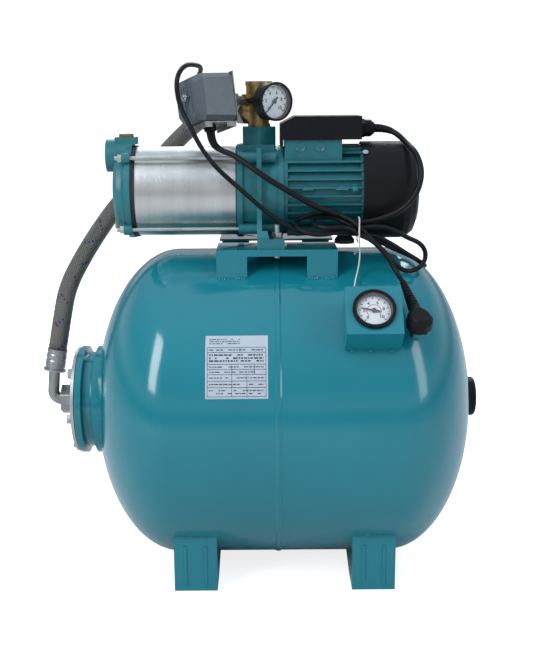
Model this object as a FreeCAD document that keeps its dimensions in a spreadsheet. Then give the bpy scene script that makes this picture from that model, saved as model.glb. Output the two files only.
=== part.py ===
"""Booster set: a horizontal multistage centrifugal pump and its motor on a horizontal pressure tank.

Frame: +X along the tank and the pump shaft, towards the motor's fan, +Y to the rear, +Z up.
The origin is on the floor, at the centre of the four foot bolts. Everything is in millimetres.
"""
import FreeCAD, Part
import math
import os
import re
import Sketcher

Vec = FreeCAD.Vector
X_AXIS = Vec(1, 0, 0)
Y_AXIS = Vec(0, 1, 0)
Z_AXIS = Vec(0, 0, 1)

doc = FreeCAD.newDocument("BoosterSet")

# ---------------------------------------------------------------- driving dimensions
SIZES = {
    # pressure tank
    "tank_axis_z": 232, "tank_radius": 225, "tank_wall": 2, "tank_half_straight": 150, "head_depth": 124,
    "seam_x": -8, "bead_height": 1.4, "neck_radius": 80, "neck_bore": 48, "neck_face_x": -300,
    "neck_length": 38, "valve_hole_radius": 9, "bladder_radius": 188, "bladder_wall": 2.5,
    # feet
    "foot_half_pitch_x": 124, "foot_face_y": 166, "foot_width": 60, "foot_sheet": 3, "foot_hole_y": 143,
    "foot_hole_radius": 5.5,
    # counter flange, union and elbow
    "flange_radius": 78, "flange_thick": 5, "lip_thick": 1.5, "bolt_circle": 66, "nipple_radius": 16.5,
    "nipple_bore": 12.5, "union_flats": 39, "elbow_radius": 8.3, "hose_radius": 13.5, "ferrule_radius": 14.8,
    # pump brackets
    "saddle_mid_x": -8, "saddle_width": 166, "saddle_top_z": 471, "saddle_sheet": 3, "saddle_front_y": 102,
    "saddle_leg": 42, "saddle_cutout_z": 462,
    # pump
    "pump_axis_z": 543, "rod_circle": 70, "rod_radius": 3, "sleeve_radius": 63.2, "sleeve_wall": 1.4,
    "casing_left_x": -237, "casing_right_x": -211, "sleeve_left_x": -205, "sleeve_right_x": -64.5,
    "bracket_left_x": -63, "bracket_right_x": 2, "suction_rise": 51, "port_bore": 15.2, "outlet_x": -31.5,
    "outlet_top_z": 633.4, "shaft_radius": 8.5, "impeller_radius": 50, "stage_pitch": 26, "bearing_radius": 20,
    # motor
    "frame_right_x": 121, "frame_radius": 58, "fin_radius": 65.5, "fin_pitch": 11.6, "fin_thick": 2.6,
    "cover_left_x": 113, "cover_right_x": 194, "cover_radius": 69, "cover_wall": 1.6, "box_left_x": -2,
    "box_right_x": 111, "box_half_y": 46, "box_floor_z": 616, "box_top_z": 648,
    # fitting, gauges and pressure switch
    "fitting_top_z": 696, "fitting_turn": 33, "side_port_z": 670, "hose_port_z": 655, "gauge_radius": 26.5,
    "gauge_box_x": 115, "gauge_box_angle": 41, "gauge_box_face": 267.5, "gauge_box_width": 73,
    "gauge_box_height": 70, "switch_reach": 58, "switch_length": 59, "switch_width": 64, "switch_height": 65,
    "switch_roll": 12,
    # leads
    "motor_lead_radius": 4, "mains_lead_radius": 3.25, "tie_radius": 1,
}

sheet = doc.addObject("Spreadsheet::Sheet", "Dims")
for line_number, (alias, size_value) in enumerate(SIZES.items(), start=1):
    sheet.set("A%d" % line_number, alias)
    sheet.set("B%d" % line_number, str(size_value))
    sheet.setAlias("B%d" % line_number, alias)
doc.recompute()


def size(alias):
    """The value of one cell of the sheet."""
    return float(sheet.get(alias))


def bound(text):
    """An expression on the sheet: every alias in the text gets the sheet's name before it."""
    return re.sub(r"[a-z][a-z_]*", lambda word: "Dims." + word.group() if word.group() in SIZES else word.group(),
                  str(text))


# ---------------------------------------------------------------- building blocks
def place(solid, at, turn=None):
    """Puts an object at three expressions, with an optional rotation."""
    if turn is not None:
        solid.Placement = FreeCAD.Placement(Vec(0, 0, 0), turn)
    for letter, text in zip("xyz", at):
        solid.setExpression("Placement.Base." + letter, bound(text))
    return solid


def box(name, lengths, at, turn=None):
    solid = doc.addObject("Part::Box", name)
    for side, text in zip(("Length", "Width", "Height"), lengths):
        solid.setExpression(side, bound(text))
    return place(solid, at, turn)


def cylinder(name, radius, height, at, along=Z_AXIS):
    solid = doc.addObject("Part::Cylinder", name)
    solid.setExpression("Radius", bound(radius))
    solid.setExpression("Height", bound(height))
    return place(solid, at, FreeCAD.Rotation(Z_AXIS, along))


def hexagon(name, flats, height, at, along=Z_AXIS, spin=0):
    solid = doc.addObject("Part::Prism", name)
    solid.Polygon = 6
    solid.setExpression("Circumradius", bound("(%s) / 2 / cos(30 deg)" % flats))
    solid.setExpression("Height", bound(height))
    return place(solid, at, FreeCAD.Rotation(Z_AXIS, along) * FreeCAD.Rotation(Z_AXIS, spin))


def fuse(name, solids):
    joined = doc.addObject("Part::MultiFuse", name)
    joined.Shapes = solids
    return joined


def common(name, solids):
    shared = doc.addObject("Part::MultiCommon", name)
    shared.Shapes = solids
    return shared


def cut(name, base, tools):
    result = doc.addObject("Part::Cut", name)
    result.Base = base
    result.Tool = tools[0] if len(tools) == 1 else fuse(name + "_tools", tools)
    return result


def group(name, solids):
    together = doc.addObject("Part::Compound", name)
    together.Links = solids
    return together


def feature(name, shape, at=None):
    """A shape made with Part's own functions, from sizes read off the sheet."""
    piece = doc.addObject("Part::Feature", name)
    piece.Shape = shape
    if at is not None:
        piece.Placement = at
    return piece


def lathe(name, outline, at, along=X_AXIS):
    """A body turned about its own X axis. The outline's points are (distance along the axis, radius)."""
    body = doc.addObject("PartDesign::Body", name)
    plane = next(item for item in body.Origin.OriginFeatures if item.Role == "XY_Plane")
    sketch = body.newObject("Sketcher::SketchObject", name + "_outline")
    sketch.AttachmentSupport = (plane, [""])
    sketch.MapMode = "FlatFace"
    count = len(outline)
    start = [Vec(60 + 40 * math.cos(2 * math.pi * i / count), 60 + 40 * math.sin(2 * math.pi * i / count), 0)
             for i in range(count)]
    sketch.addGeometry([Part.LineSegment(start[i], start[(i + 1) % count]) for i in range(count)], False)
    for i in range(count):
        sketch.addConstraint(Sketcher.Constraint("Coincident", i, 2, (i + 1) % count, 1))
    for i, corner in enumerate(outline):
        for kind, axis, text in (("DistanceX", -2, corner[0]), ("DistanceY", -1, corner[1])):
            if str(text) == "0":
                sketch.addConstraint(Sketcher.Constraint("PointOnObject", i, 1, axis))
                continue
            number = sketch.addConstraint(Sketcher.Constraint(kind, -1, 1, i, 1, 50.0))
            sketch.setExpression("Constraints[%d]" % number, bound(text))
    turned = body.newObject("PartDesign::Revolution", name + "_turn")
    turned.Profile = sketch
    turned.ReferenceAxis = (sketch, ["H_Axis"])
    turned.Angle = 360
    sketch.Visibility = False
    return place(body, at, FreeCAD.Rotation(X_AXIS, along))


def around(count, start=0.0, step=None):
    """Evenly spaced angles, in radians."""
    step = 360.0 / count if step is None else step
    return [math.radians(start + step * i) for i in range(count)]


def polygon_prism(points, depth):
    """A prism: a closed outline of vectors, pushed along a vector."""
    return Part.Face(Part.makePolygon(points + points[:1])).extrude(depth)


# ---------------------------------------------------------------- pressure tank
def head_profile(side, inset, hole_radius):
    """One quarter ellipse of a dished head, from the straight part to the hole at its crown."""
    radius = size("tank_radius") - inset
    depth = size("head_depth") - inset
    centre = Vec(side * size("tank_half_straight"), 0, 0)
    ellipse = Part.Ellipse(centre + Z_AXIS * radius, centre + X_AXIS * side * depth, centre)
    return Part.ArcOfEllipse(ellipse, 0, math.acos(hole_radius / radius))


def ends(curve):
    return curve.StartPoint, curve.EndPoint


def tank_half(name, side, hole_radius):
    """A drawn half shell, with half of the weld bead on its open edge."""
    radius, wall, bead = size("tank_radius"), size("tank_wall"), size("bead_height")
    outer = head_profile(side, 0, hole_radius)
    inner = head_profile(side, wall, hole_radius)
    outer_top, outer_hole = ends(outer)
    inner_top, inner_hole = ends(inner)
    seam = size("seam_x")
    lip = [Vec(seam, 0, radius - wall), Vec(seam, 0, radius + bead), Vec(seam + side * 2.2, 0, radius + bead),
           Vec(seam + side * 4.5, 0, radius), outer_top]
    edges = [Part.LineSegment(a, b).toShape() for a, b in zip(lip, lip[1:])]
    edges += [outer.toShape(), Part.LineSegment(outer_hole, inner_hole).toShape(), inner.toShape(),
              Part.LineSegment(inner_top, lip[0]).toShape()]
    shell = Part.Face(Part.Wire(Part.sortEdges(edges)[0])).revolve(Vec(0, 0, 0), X_AXIS, 360)
    return feature(name, shell, FreeCAD.Placement(Vec(0, 0, size("tank_axis_z")), FreeCAD.Rotation()))


def tank_bladder():
    """The rubber bag: a lip clamped under the counter flange, a neck and a long closed bag."""
    wall, radius = size("bladder_wall"), size("bladder_radius")
    lip_x, throat = size("neck_face_x"), size("neck_bore") - 1
    centre, reach = Vec(-40, 0, 0), 225

    def bag(inset):
        ellipse = Part.Ellipse(centre + X_AXIS * (reach - inset), centre + Z_AXIS * (radius - inset), centre)
        start = math.pi - math.asin((throat - inset) / (radius - inset))
        return Part.ArcOfEllipse(ellipse, 0, start)

    outer, inner = bag(0), bag(wall)
    (outer_pole, outer_neck), (inner_pole, inner_neck) = ends(outer), ends(inner)
    lip = size("lip_thick")
    path = [outer_neck, Vec(lip_x, 0, throat), Vec(lip_x, 0, size("flange_radius") - 1),
            Vec(lip_x - lip, 0, size("flange_radius") - 1), Vec(lip_x - lip, 0, throat - wall), inner_neck]
    edges = [outer.toShape(), inner.toShape(), Part.LineSegment(outer_pole, inner_pole).toShape()]
    edges += [Part.LineSegment(a, b).toShape() for a, b in zip(path, path[1:])]
    bag_shape = Part.Face(Part.Wire(Part.sortEdges(edges)[0])).revolve(Vec(0, 0, 0), X_AXIS, 360)
    holes = [Part.makeCylinder(4.6, 20, Vec(lip_x - 10, size("bolt_circle") * math.cos(a),
                                            size("bolt_circle") * math.sin(a)), X_AXIS)
             for a in flange_angles]
    return feature("tank_bladder", bag_shape.cut(holes),
                   FreeCAD.Placement(Vec(0, 0, size("tank_axis_z")), FreeCAD.Rotation()))


flange_angles = around(6, 130)
tank_shell_left = tank_half("tank_shell_left", -1, size("neck_radius") + 0.2)
tank_shell_right = tank_half("tank_shell_right", 1, size("valve_hole_radius"))
bladder = tank_bladder()


def bolt_spot(angle, radius="bolt_circle"):
    return "%s * %.6f" % (radius, math.cos(angle)), "tank_axis_z + %s * %.6f" % (radius, math.sin(angle))


neck_ring = lathe("neck_ring_turned", [("0", "neck_bore"), ("0", "neck_radius - 1"), ("1", "neck_radius"),
                                       ("9", "neck_radius"), ("11", "neck_radius - 9"), ("21", "neck_radius - 9"),
                                       ("25", "neck_radius"), ("neck_length", "neck_radius"),
                                       ("neck_length", "neck_bore")],
                  ("neck_face_x", "0", "tank_axis_z"))
neck_holes = [cylinder("neck_hole_%d" % i, 4.3, 26, ("neck_face_x - 1",) + bolt_spot(a), X_AXIS)
              for i, a in enumerate(flange_angles)]
tank_neck = cut("tank_neck", neck_ring, neck_holes)

flange_blank = lathe("counter_flange_turned",
                     [("0", "nipple_bore"), ("0", "flange_radius"), ("flange_thick - 1", "flange_radius"),
                      ("flange_thick", "flange_radius - 2"), ("flange_thick + 2", "nipple_radius + 6"),
                      ("flange_thick + 2", "nipple_radius"), ("flange_thick + 20", "nipple_radius"),
                      ("flange_thick + 20", "nipple_bore")],
                     ("neck_face_x - lip_thick", "0", "tank_axis_z"), Vec(-1, 0, 0))
flange_holes = [cylinder("flange_hole_%d" % i, 4.3, 16, ("neck_face_x - 14",) + bolt_spot(a), X_AXIS)
                for i, a in enumerate(flange_angles)]
counter_flange = cut("counter_flange", flange_blank, flange_holes)


def flange_bolt(i, angle):
    spot = bolt_spot(angle)
    head = hexagon("flange_bolt_head_%d" % i, 13, 5.3, ("neck_face_x - lip_thick - flange_thick - 6.3",) + spot,
                   X_AXIS, 15 * i)
    shank = cylinder("flange_bolt_shank_%d" % i, 4, 30, ("neck_face_x - lip_thick - flange_thick - 3",) + spot,
                     X_AXIS)
    return fuse("flange_bolt_%d" % i, [head, shank])


flange_bolts = group("flange_bolts", [flange_bolt(i, a) for i, a in enumerate(flange_angles)])

air_valve = lathe("air_valve", [("0", "0"), ("0", "8.8"), ("3.1", "8.8"), ("3.1", "12"), ("5", "12"), ("5", "6"),
                                ("8", "6"), ("8", "3.9"), ("14", "3.9"), ("14", "0")],
                  ("tank_half_straight + head_depth - tank_wall - 1", "0", "tank_axis_z"))
air_valve_cap = lathe("air_valve_cap", [("0", "27"), ("0", "29"), ("12", "29"), ("14.5", "27"), ("15.5", "22"),
                                        ("15.5", "0"), ("13", "0"), ("13", "27")],
                      ("tank_half_straight + head_depth - 0.9", "0", "tank_axis_z"))


# ---------------------------------------------------------------- feet, pump brackets and gauge box
def tank_foot(i, side_x, side_y):
    """A folded foot: front plate, two side cheeks cut to the tank's round, and a bottom flange with a hole."""
    face, width, wall = size("foot_face_y"), size("foot_width"), size("foot_sheet")
    outline = [Vec(0, face, 0), Vec(0, face, 100), Vec(0, 48, 60), Vec(0, 48, 14), Vec(0, 118, 0)]
    block = polygon_prism(outline, X_AXIS * width)
    hollow = [Vec(0, face - wall, wall), Vec(0, face - wall, 120), Vec(0, 40, 120), Vec(0, 40, wall)]
    inside = polygon_prism(hollow, X_AXIS * (width - 2 * wall)).translated(X_AXIS * wall)
    ribs = [Part.makeCylinder(3, 58, Vec(width / 2 + offset, face - 1, 9)) for offset in (-14, 14)]
    foot = block.cut(inside).fuse(ribs).translated(X_AXIS * (side_x * size("foot_half_pitch_x") - width / 2))
    tank = Part.makeCylinder(size("tank_radius") + 0.1, 600, Vec(-300, 0, size("tank_axis_z")), X_AXIS)
    hole = Part.makeCylinder(size("foot_hole_radius"), 20,
                             Vec(side_x * size("foot_half_pitch_x"), size("foot_hole_y"), -5))
    foot = foot.cut([tank, hole])
    if side_y < 0:
        foot = foot.mirror(Vec(0, 0, 0), Y_AXIS)
    return feature("tank_foot_%d" % i, foot.removeSplitter())


tank_feet = group("tank_feet", [tank_foot(i, side_x, side_y)
                                for i, (side_x, side_y) in enumerate(((-1, -1), (1, -1), (-1, 1), (1, 1)))])


def slot_tool(name, start, end, radius, side):
    """A slot through the top plate of a pump bracket, between two points given as (x, distance from the middle)."""
    middle = size("saddle_mid_x")
    a = Vec(middle + start[0], side * start[1], 0)
    b = Vec(middle + end[0], side * end[1], 0)
    run = b - a
    across = Vec(-run.y, run.x, 0).normalize() * radius
    slab = polygon_prism([a + across, b + across, b - across, a - across], Z_AXIS * 30)
    rounds = [Part.makeCylinder(radius, 30, point) for point in (a, b)]
    tool = slab.fuse(rounds)
    return feature(name, tool, FreeCAD.Placement(Vec(0, 0, size("saddle_top_z") - 15), FreeCAD.Rotation()))


def pump_bracket(name, side, inner_y):
    """A folded bracket welded on the tank: a top plate with slots and a skirt with a wide cut-out."""
    left = "saddle_mid_x - saddle_width / 2"
    depth = "saddle_front_y - %s" % inner_y
    plate_y = "-saddle_front_y" if side < 0 else inner_y
    skirt_y = "-saddle_front_y" if side < 0 else "saddle_front_y - saddle_sheet"
    plate = box(name + "_plate", ("saddle_width", depth, "saddle_sheet"),
                (left, plate_y, "saddle_top_z - saddle_sheet"))
    skirt = box(name + "_skirt", ("saddle_width", "saddle_sheet", "50"), (left, skirt_y, "saddle_top_z - 50"))
    gap = box(name + "_gap", ("saddle_width - 2 * saddle_leg", "20", "80"),
              (left + " + saddle_leg", skirt_y + " - 8", "saddle_cutout_z - 80"))
    tank = cylinder(name + "_tank", "tank_radius + 0.1", 400, ("saddle_mid_x - 200", "0", "tank_axis_z"), X_AXIS)
    bolt_hole = cylinder(name + "_bolt_hole", 5, 20, ("-8", str(side * 80), "saddle_top_z - 10"))
    slots = [slot_tool(name + "_slot_%d" % hand, (hand * 74, 88), (hand * 33, 43), 3.6, side)
             for hand in (-1, 1)]
    return cut(name, fuse(name + "_sheet", [plate, skirt]), [gap, tank, bolt_hole] + slots)


pump_bracket_front = pump_bracket("pump_bracket_front", -1, "26")
pump_bracket_rear = pump_bracket("pump_bracket_rear", 1, "12")

# the gauge box stands square on the tank's side, at an angle above the middle
box_turn = FreeCAD.Rotation(X_AXIS, 90 - size("gauge_box_angle"))
box_normal = box_turn.multVec(Z_AXIS)
box_up = box_turn.multVec(Y_AXIS)


def on_box(x, up, out):
    """A point of the gauge box's own frame, as three expressions."""
    angle = "(gauge_box_angle * 1 deg)"
    return ("gauge_box_x + (%s)" % x,
            "-(%s) * cos(%s) + (%s) * sin(%s)" % (out, angle, up, angle),
            "tank_axis_z + (%s) * sin(%s) + (%s) * cos(%s)" % (out, angle, up, angle))


gauge_box_block = box("gauge_box_block", ("gauge_box_width", "gauge_box_height", "gauge_box_face - 200"),
                      on_box("-gauge_box_width / 2", "-gauge_box_height / 2", "200"), box_turn)
gauge_box_inside = box("gauge_box_inside", ("gauge_box_width - 4", "gauge_box_height - 4", "gauge_box_face - 190"),
                       on_box("2 - gauge_box_width / 2", "2 - gauge_box_height / 2", "188"), box_turn)
gauge_box_hole = cylinder("gauge_box_hole", "gauge_radius", 30, on_box(0, 0, "gauge_box_face - 15"), box_normal)
gauge_box_tank = cylinder("gauge_box_tank", "tank_radius + 0.1", 300, ("0", "0", "tank_axis_z"), X_AXIS)
gauge_box = cut("gauge_box", gauge_box_block, [gauge_box_inside, gauge_box_hole, gauge_box_tank])


# ---------------------------------------------------------------- pressure gauges
def gauge(name, bezel, stem, at, along, needle_angle):
    """A 50 mm gauge with a back stem. Its parts are returned by name; the stem starts at the given point."""
    case = lathe(name + "_case", [("0", "0"), ("0", "5"), ("6", "6.5"), (stem, "6.5"), (stem, "gauge_radius - 5"),
                                  (stem + 3, "gauge_radius - 1"), (stem + 20, "gauge_radius - 1"),
                                  (stem + 20.5, bezel), (stem + 24.5, bezel), (stem + 25.5, bezel - 1),
                                  (stem + 25.5, "gauge_radius - 2.6"), (stem + 3, "gauge_radius - 2.6"),
                                  (stem + 3, "1"), (stem + 20, "1"), (stem + 20, "0")], at, along)
    dial = lathe(name + "_dial", [(stem + 16, "1.4"), (stem + 16, "gauge_radius - 2.8"),
                                  (stem + 17, "gauge_radius - 2.8"), (stem + 17, "1.4")], at, along)
    lens = lathe(name + "_lens", [(stem + 22, "0"), (stem + 22, "gauge_radius - 2.8"),
                                  (stem + 23.5, "gauge_radius - 2.8"), (stem + 23.5, "0")], at, along)
    bush = Part.makeCylinder(3, 2, Vec(stem + 18, 0, 0), X_AXIS)
    blade = polygon_prism([Vec(stem + 18.6, -8, -1.4), Vec(stem + 18.6, -8, 1.4), Vec(stem + 18.6, 15, 0.7),
                           Vec(stem + 18.6, 18.5, 0), Vec(stem + 18.6, 15, -0.7)], X_AXIS * 0.8)
    bore = Part.makeCylinder(1.06, 6, Vec(stem + 16, 0, 0), X_AXIS)
    blade.rotate(Vec(0, 0, 0), X_AXIS, needle_angle)
    needle = feature(name + "_needle", bush.fuse(blade).cut(bore))
    return {"case": case, "dial": dial, "lens": lens, "needle": needle}


def fitting_spot(turn, reach, height):
    """A point at a reach from the fitting's axis, in a direction turned from straight ahead (-Y)."""
    return ("outlet_x + (%s) * sin((%s) * 1 deg)" % (reach, turn),
            "-(%s) * cos((%s) * 1 deg)" % (reach, turn), height)


def direction(turn_degrees):
    angle = math.radians(turn_degrees)
    return Vec(math.sin(angle), -math.cos(angle), 0)


gauge_way = direction(size("fitting_turn"))
switch_way = direction(size("fitting_turn") - 90)
HOSE_TURN = "fitting_turn + 180"
hose_way = direction(size("fitting_turn") + 180)


def frame_of(forward, up):
    """The rotation whose X axis is forward and whose Z axis is as near as possible to up."""
    side = up.cross(forward).normalize()
    return FreeCAD.Rotation(forward, side, forward.cross(side), "XYZ")


def aim(piece, forward, up):
    """Turns a piece built along its own X axis to face forward, keeping where it is."""
    piece.Placement = FreeCAD.Placement(piece.Placement.Base, frame_of(forward, up))


line_gauge = gauge("line_gauge", 26.5, 8, fitting_spot("fitting_turn", "13.3", "side_port_z - 2"), gauge_way, 229)
tank_gauge = gauge("tank_gauge", 28, 20, on_box(0, 0, "gauge_box_face - 40"), box_normal, 167)
doc.recompute()
for dial_parts, forward, up in ((line_gauge, gauge_way, Z_AXIS), (tank_gauge, box_normal, box_up)):
    for piece in dial_parts.values():
        aim(piece, forward, up)
    dial_parts["needle"].Placement = dial_parts["case"].Placement
gauge_cases = group("gauge_cases", [line_gauge["case"], tank_gauge["case"]])
gauge_dials = group("gauge_dials", [line_gauge["dial"], tank_gauge["dial"]])
gauge_lenses = group("gauge_lenses", [line_gauge["lens"], tank_gauge["lens"]])

# ---------------------------------------------------------------- brass five-way fitting
fitting_body = [
    cylinder("fitting_stem", 14.3, "fitting_top_z - outlet_top_z - 4", ("outlet_x", "0", "outlet_top_z + 0.2")),
    cylinder("fitting_collar", 16, 4, ("outlet_x", "0", "outlet_top_z + 0.2")),
    cylinder("fitting_socket", 18, 22, ("outlet_x", "0", "fitting_top_z - 22")),
    cylinder("fitting_socket_rim", 19, 6, ("outlet_x", "0", "fitting_top_z - 6")),
    cylinder("fitting_gauge_boss", 8.5, 21, fitting_spot("fitting_turn", "0", "side_port_z - 2"), gauge_way),
    cylinder("fitting_switch_boss", 8.5, 26, fitting_spot("fitting_turn - 90", "0", "side_port_z"), switch_way),
    cylinder("fitting_hose_boss", 15.5, 24, fitting_spot(HOSE_TURN, "0", "hose_port_z"), hose_way),
    cylinder("fitting_hose_thread", 12.5, 36, fitting_spot(HOSE_TURN, "0", "hose_port_z"), hose_way),
    cylinder("fitting_tail", 14.3, 15, ("outlet_x", "0", "outlet_top_z - 14")),
]
fitting_bores = [
    cylinder("fitting_bore", 10.5, 120, ("outlet_x", "0", "outlet_top_z - 30")),
    cylinder("fitting_socket_bore", "port_bore", 17, ("outlet_x", "0", "fitting_top_z - 17")),
    cylinder("fitting_gauge_bore", 6.55, 30, fitting_spot("fitting_turn", "0", "side_port_z - 2"), gauge_way),
    cylinder("fitting_switch_bore", 6.55, 40, fitting_spot("fitting_turn - 90", "0", "side_port_z"), switch_way),
    cylinder("fitting_hose_bore", 10, 40, fitting_spot(HOSE_TURN, "0", "hose_port_z"), hose_way),
]
brass_fitting = cut("brass_fitting", fuse("fitting_solid", fitting_body), fitting_bores)

# ---------------------------------------------------------------- pressure switch
switch_turn = FreeCAD.Rotation(Z_AXIS, 180 + size("fitting_turn")) * FreeCAD.Rotation(X_AXIS, size("switch_roll"))
switch_base_point = (Vec(size("outlet_x"), 0, size("side_port_z")) + switch_way * size("switch_reach"))
switch_frame = FreeCAD.Placement(switch_base_point, switch_turn)


def switch_cover_shape():
    """The moulded cover: a hollow box whose far end is drawn in, with shallow ribs on the end face."""
    length, half_y, half_z, wall = size("switch_length"), size("switch_width") / 2, size("switch_height") / 2, 2.2

    def slice_at(x, y_half, z_half, corner):
        points = []
        for y_sign, z_sign in ((1, 1), (-1, 1), (-1, -1), (1, -1)):
            near = [Vec(x, y_sign * y_half, z_sign * (z_half - corner)),
                    Vec(x, y_sign * (y_half - corner), z_sign * z_half)]
            points += near if y_sign * z_sign > 0 else near[::-1]
        return Part.makePolygon(points + points[:1])

    outer = [slice_at(1.6, half_y, half_z, 6), slice_at(length - 12, half_y - 0.6, half_z - 0.6, 7),
             slice_at(length, half_y - 6, half_z - 5, 9)]
    inner = [slice_at(1.5, half_y - wall, half_z - wall, 5), slice_at(length - 13, half_y - 3, half_z - 3, 6),
             slice_at(length - 3, half_y - 8, half_z - 7, 8)]
    shell = Part.makeLoft(outer, True, True).cut(Part.makeLoft(inner, True, True))
    ribs = [Part.makeBox(1.2, 2.2, 38, Vec(length - 0.2, y, -19)) for y in (-19, -12, -5, 14)]
    holes = [Part.makeCylinder(4.3, 20, Vec(length - 12, 5, 3), X_AXIS),
             Part.makeCylinder(9.3, 20, Vec(27, 0, -half_z - 8)),
             Part.makeCylinder(9.3, 20, Vec(16, -half_y - 8, -6), Y_AXIS)]
    return shell.fuse(ribs).cut(holes)


def switch_base_shape():
    """The plated base: an end plate, the lower and rear cheeks that carry the glands, and the cap nut's stud."""
    half_y, half_z = size("switch_width") / 2, size("switch_height") / 2
    plate = Part.makeBox(1.5, 2 * half_y + 2, 2 * half_z + 2, Vec(0, -half_y - 1, -half_z - 1))
    lower = Part.makeBox(48, 52, 1.5, Vec(1, -26, -half_z - 2))
    lower_step = Part.makeBox(1.5, 52, 8, Vec(0, -26, -half_z - 8))
    skirt = [Part.makeBox(14, 1.5, 7, Vec(1, 24.5, -half_z - 8)), Part.makeBox(11, 1.5, 7, Vec(38, 24.5, -half_z - 8)),
             Part.makeBox(1.5, 52, 7, Vec(47.5, -26, -half_z - 8))]
    rear = Part.makeBox(30, 1.5, 30, Vec(1, -half_y - 5, -20))
    rear_step = Part.makeBox(1.5, 8, 30, Vec(0, -half_y - 5, -20))
    stud = Part.makeCylinder(3, size("switch_length") + 2, Vec(1, 5, 3), X_AXIS)
    holes = [Part.makeCylinder(8.3, 10, Vec(27, 0, -half_z - 7)),
             Part.makeCylinder(8.3, 10, Vec(16, -half_y - 10, -6), Y_AXIS),
             Part.makeCylinder(6.2, 10, Vec(-4, 0, 0), X_AXIS)]
    return plate.fuse([lower, lower_step, rear, rear_step, stud] + skirt).cut(holes)


def gland_shape(radius, barrel, cable_radius):
    """A cable gland along +Z: a threaded stub inside the wall, a hexagon and a domed nut, bored for its cable."""
    stub = Part.makeCylinder(radius * 0.78, 6, Vec(0, 0, -6))
    flats = [Vec(radius * math.cos(a), radius * math.sin(a), 0) for a in around(6)]
    hexagon_solid = polygon_prism(flats, Z_AXIS * barrel * 0.35)
    nut = Part.makeCylinder(radius * 0.92, barrel * 0.4, Vec(0, 0, barrel * 0.35))
    dome = Part.makeCone(radius * 0.92, radius * 0.6, barrel * 0.25, Vec(0, 0, barrel * 0.75))
    bore = Part.makeCylinder(cable_radius + 0.4, barrel + 20, Vec(0, 0, -10))
    return stub.fuse([hexagon_solid, nut, dome]).cut(bore)


def switch_diaphragm_shape():
    """The round diaphragm housing under the base, its hexagon and the quarter-inch nipple to the fitting."""
    can = Part.makeCylinder(21, 7, Vec(-7, 0, 0), X_AXIS)
    step = Part.makeCylinder(13, 4, Vec(-11, 0, 0), X_AXIS)
    flats = [Vec(-21, 10 * math.cos(a), 10 * math.sin(a)) for a in around(6)]
    hexagon_solid = polygon_prism(flats, X_AXIS * 10)
    nipple = Part.makeCylinder(6.4, 22, Vec(-43, 0, 0), X_AXIS)
    button = Part.makeCylinder(5.8, 5, Vec(0, 0, 0), X_AXIS)
    bore = Part.makeCylinder(3, 40, Vec(-44, 0, 0), X_AXIS)
    return can.fuse([step, hexagon_solid, nipple, button]).cut(bore)


def switch_spring_shape():
    """The range spring, drawn as a stack of turns on its own seat cup."""
    turns = [Part.makeTorus(6, 0.9, Vec(14.5 + 3 * i, 5, 3), X_AXIS) for i in range(8)]
    tube = Part.makeCylinder(6.3, 23.5, Vec(13.4, 5, 3), X_AXIS).cut(
        Part.makeCylinder(5.7, 24, Vec(13.2, 5, 3), X_AXIS))
    return tube.fuse(turns)


def switch_lever_shape():
    """The contact lever: a plate on a hinge pin by its lower edge, pressed by the diaphragm's button."""
    plate = Part.makeBox(1.8, 34, 40, Vec(8.2, -17, -20))
    barrel = Part.makeCylinder(2.6, 34, Vec(9.1, -17, -20), Y_AXIS)
    stud_hole = Part.makeCylinder(5, 10, Vec(5, 5, 3), X_AXIS)
    pin_hole = Part.makeCylinder(1.55, 40, Vec(9.1, -20, -20), Y_AXIS)
    return plate.fuse(barrel).cut([stud_hole, pin_hole])


def switch_contacts_shape():
    """The contact block: hinge pin on two ears, a moulded block and two rows of terminals."""
    block = Part.makeBox(22, 40, 12, Vec(22, -20, -27))
    ears = [Part.makeBox(20, 2, 12, Vec(5.5, y, -27)) for y in (-20, 18)]
    feet = [Part.makeBox(5, 2, 12, Vec(1.5, y, -27)) for y in (-20, 18)]
    pin = Part.makeCylinder(1.5, 40, Vec(9.1, -20, -20), Y_AXIS)
    screws = [Part.makeCylinder(2.2, 2.4, Vec(x, y, -15)) for x in (28, 38) for y in (-14, -5, 5, 14)]
    return block.fuse(ears + feet + [pin] + screws)


switch_cover = feature("switch_cover", switch_cover_shape(), switch_frame)
switch_base = feature("switch_base", switch_base_shape(), switch_frame)
switch_diaphragm = feature("switch_diaphragm", switch_diaphragm_shape(), switch_frame)
switch_spring = feature("switch_spring", switch_spring_shape(), switch_frame)
switch_lever = feature("switch_lever", switch_lever_shape(), switch_frame)
switch_contacts = feature("switch_contacts", switch_contacts_shape(), switch_frame)
cap_nut_outline = [Vec(0, 5.5 / math.cos(math.pi / 6) * math.cos(a), 5.5 / math.cos(math.pi / 6) * math.sin(a))
                   for a in around(6)]
cap_nut = polygon_prism(cap_nut_outline, X_AXIS * 4).fuse(Part.makeSphere(4.6, Vec(3.5, 0, 0))).cut(
    [Part.makeCylinder(3.05, 4.6, Vec(-2, 0, 0), X_AXIS), Part.makeBox(4, 20, 20, Vec(-4, -10, -10))])
cap_nut_spot = FreeCAD.Placement(Vec(size("switch_length") + 1.2, 5, 3), FreeCAD.Rotation())
switch_cap_nut = feature("switch_cap_nut", cap_nut, switch_frame.multiply(cap_nut_spot))

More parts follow.
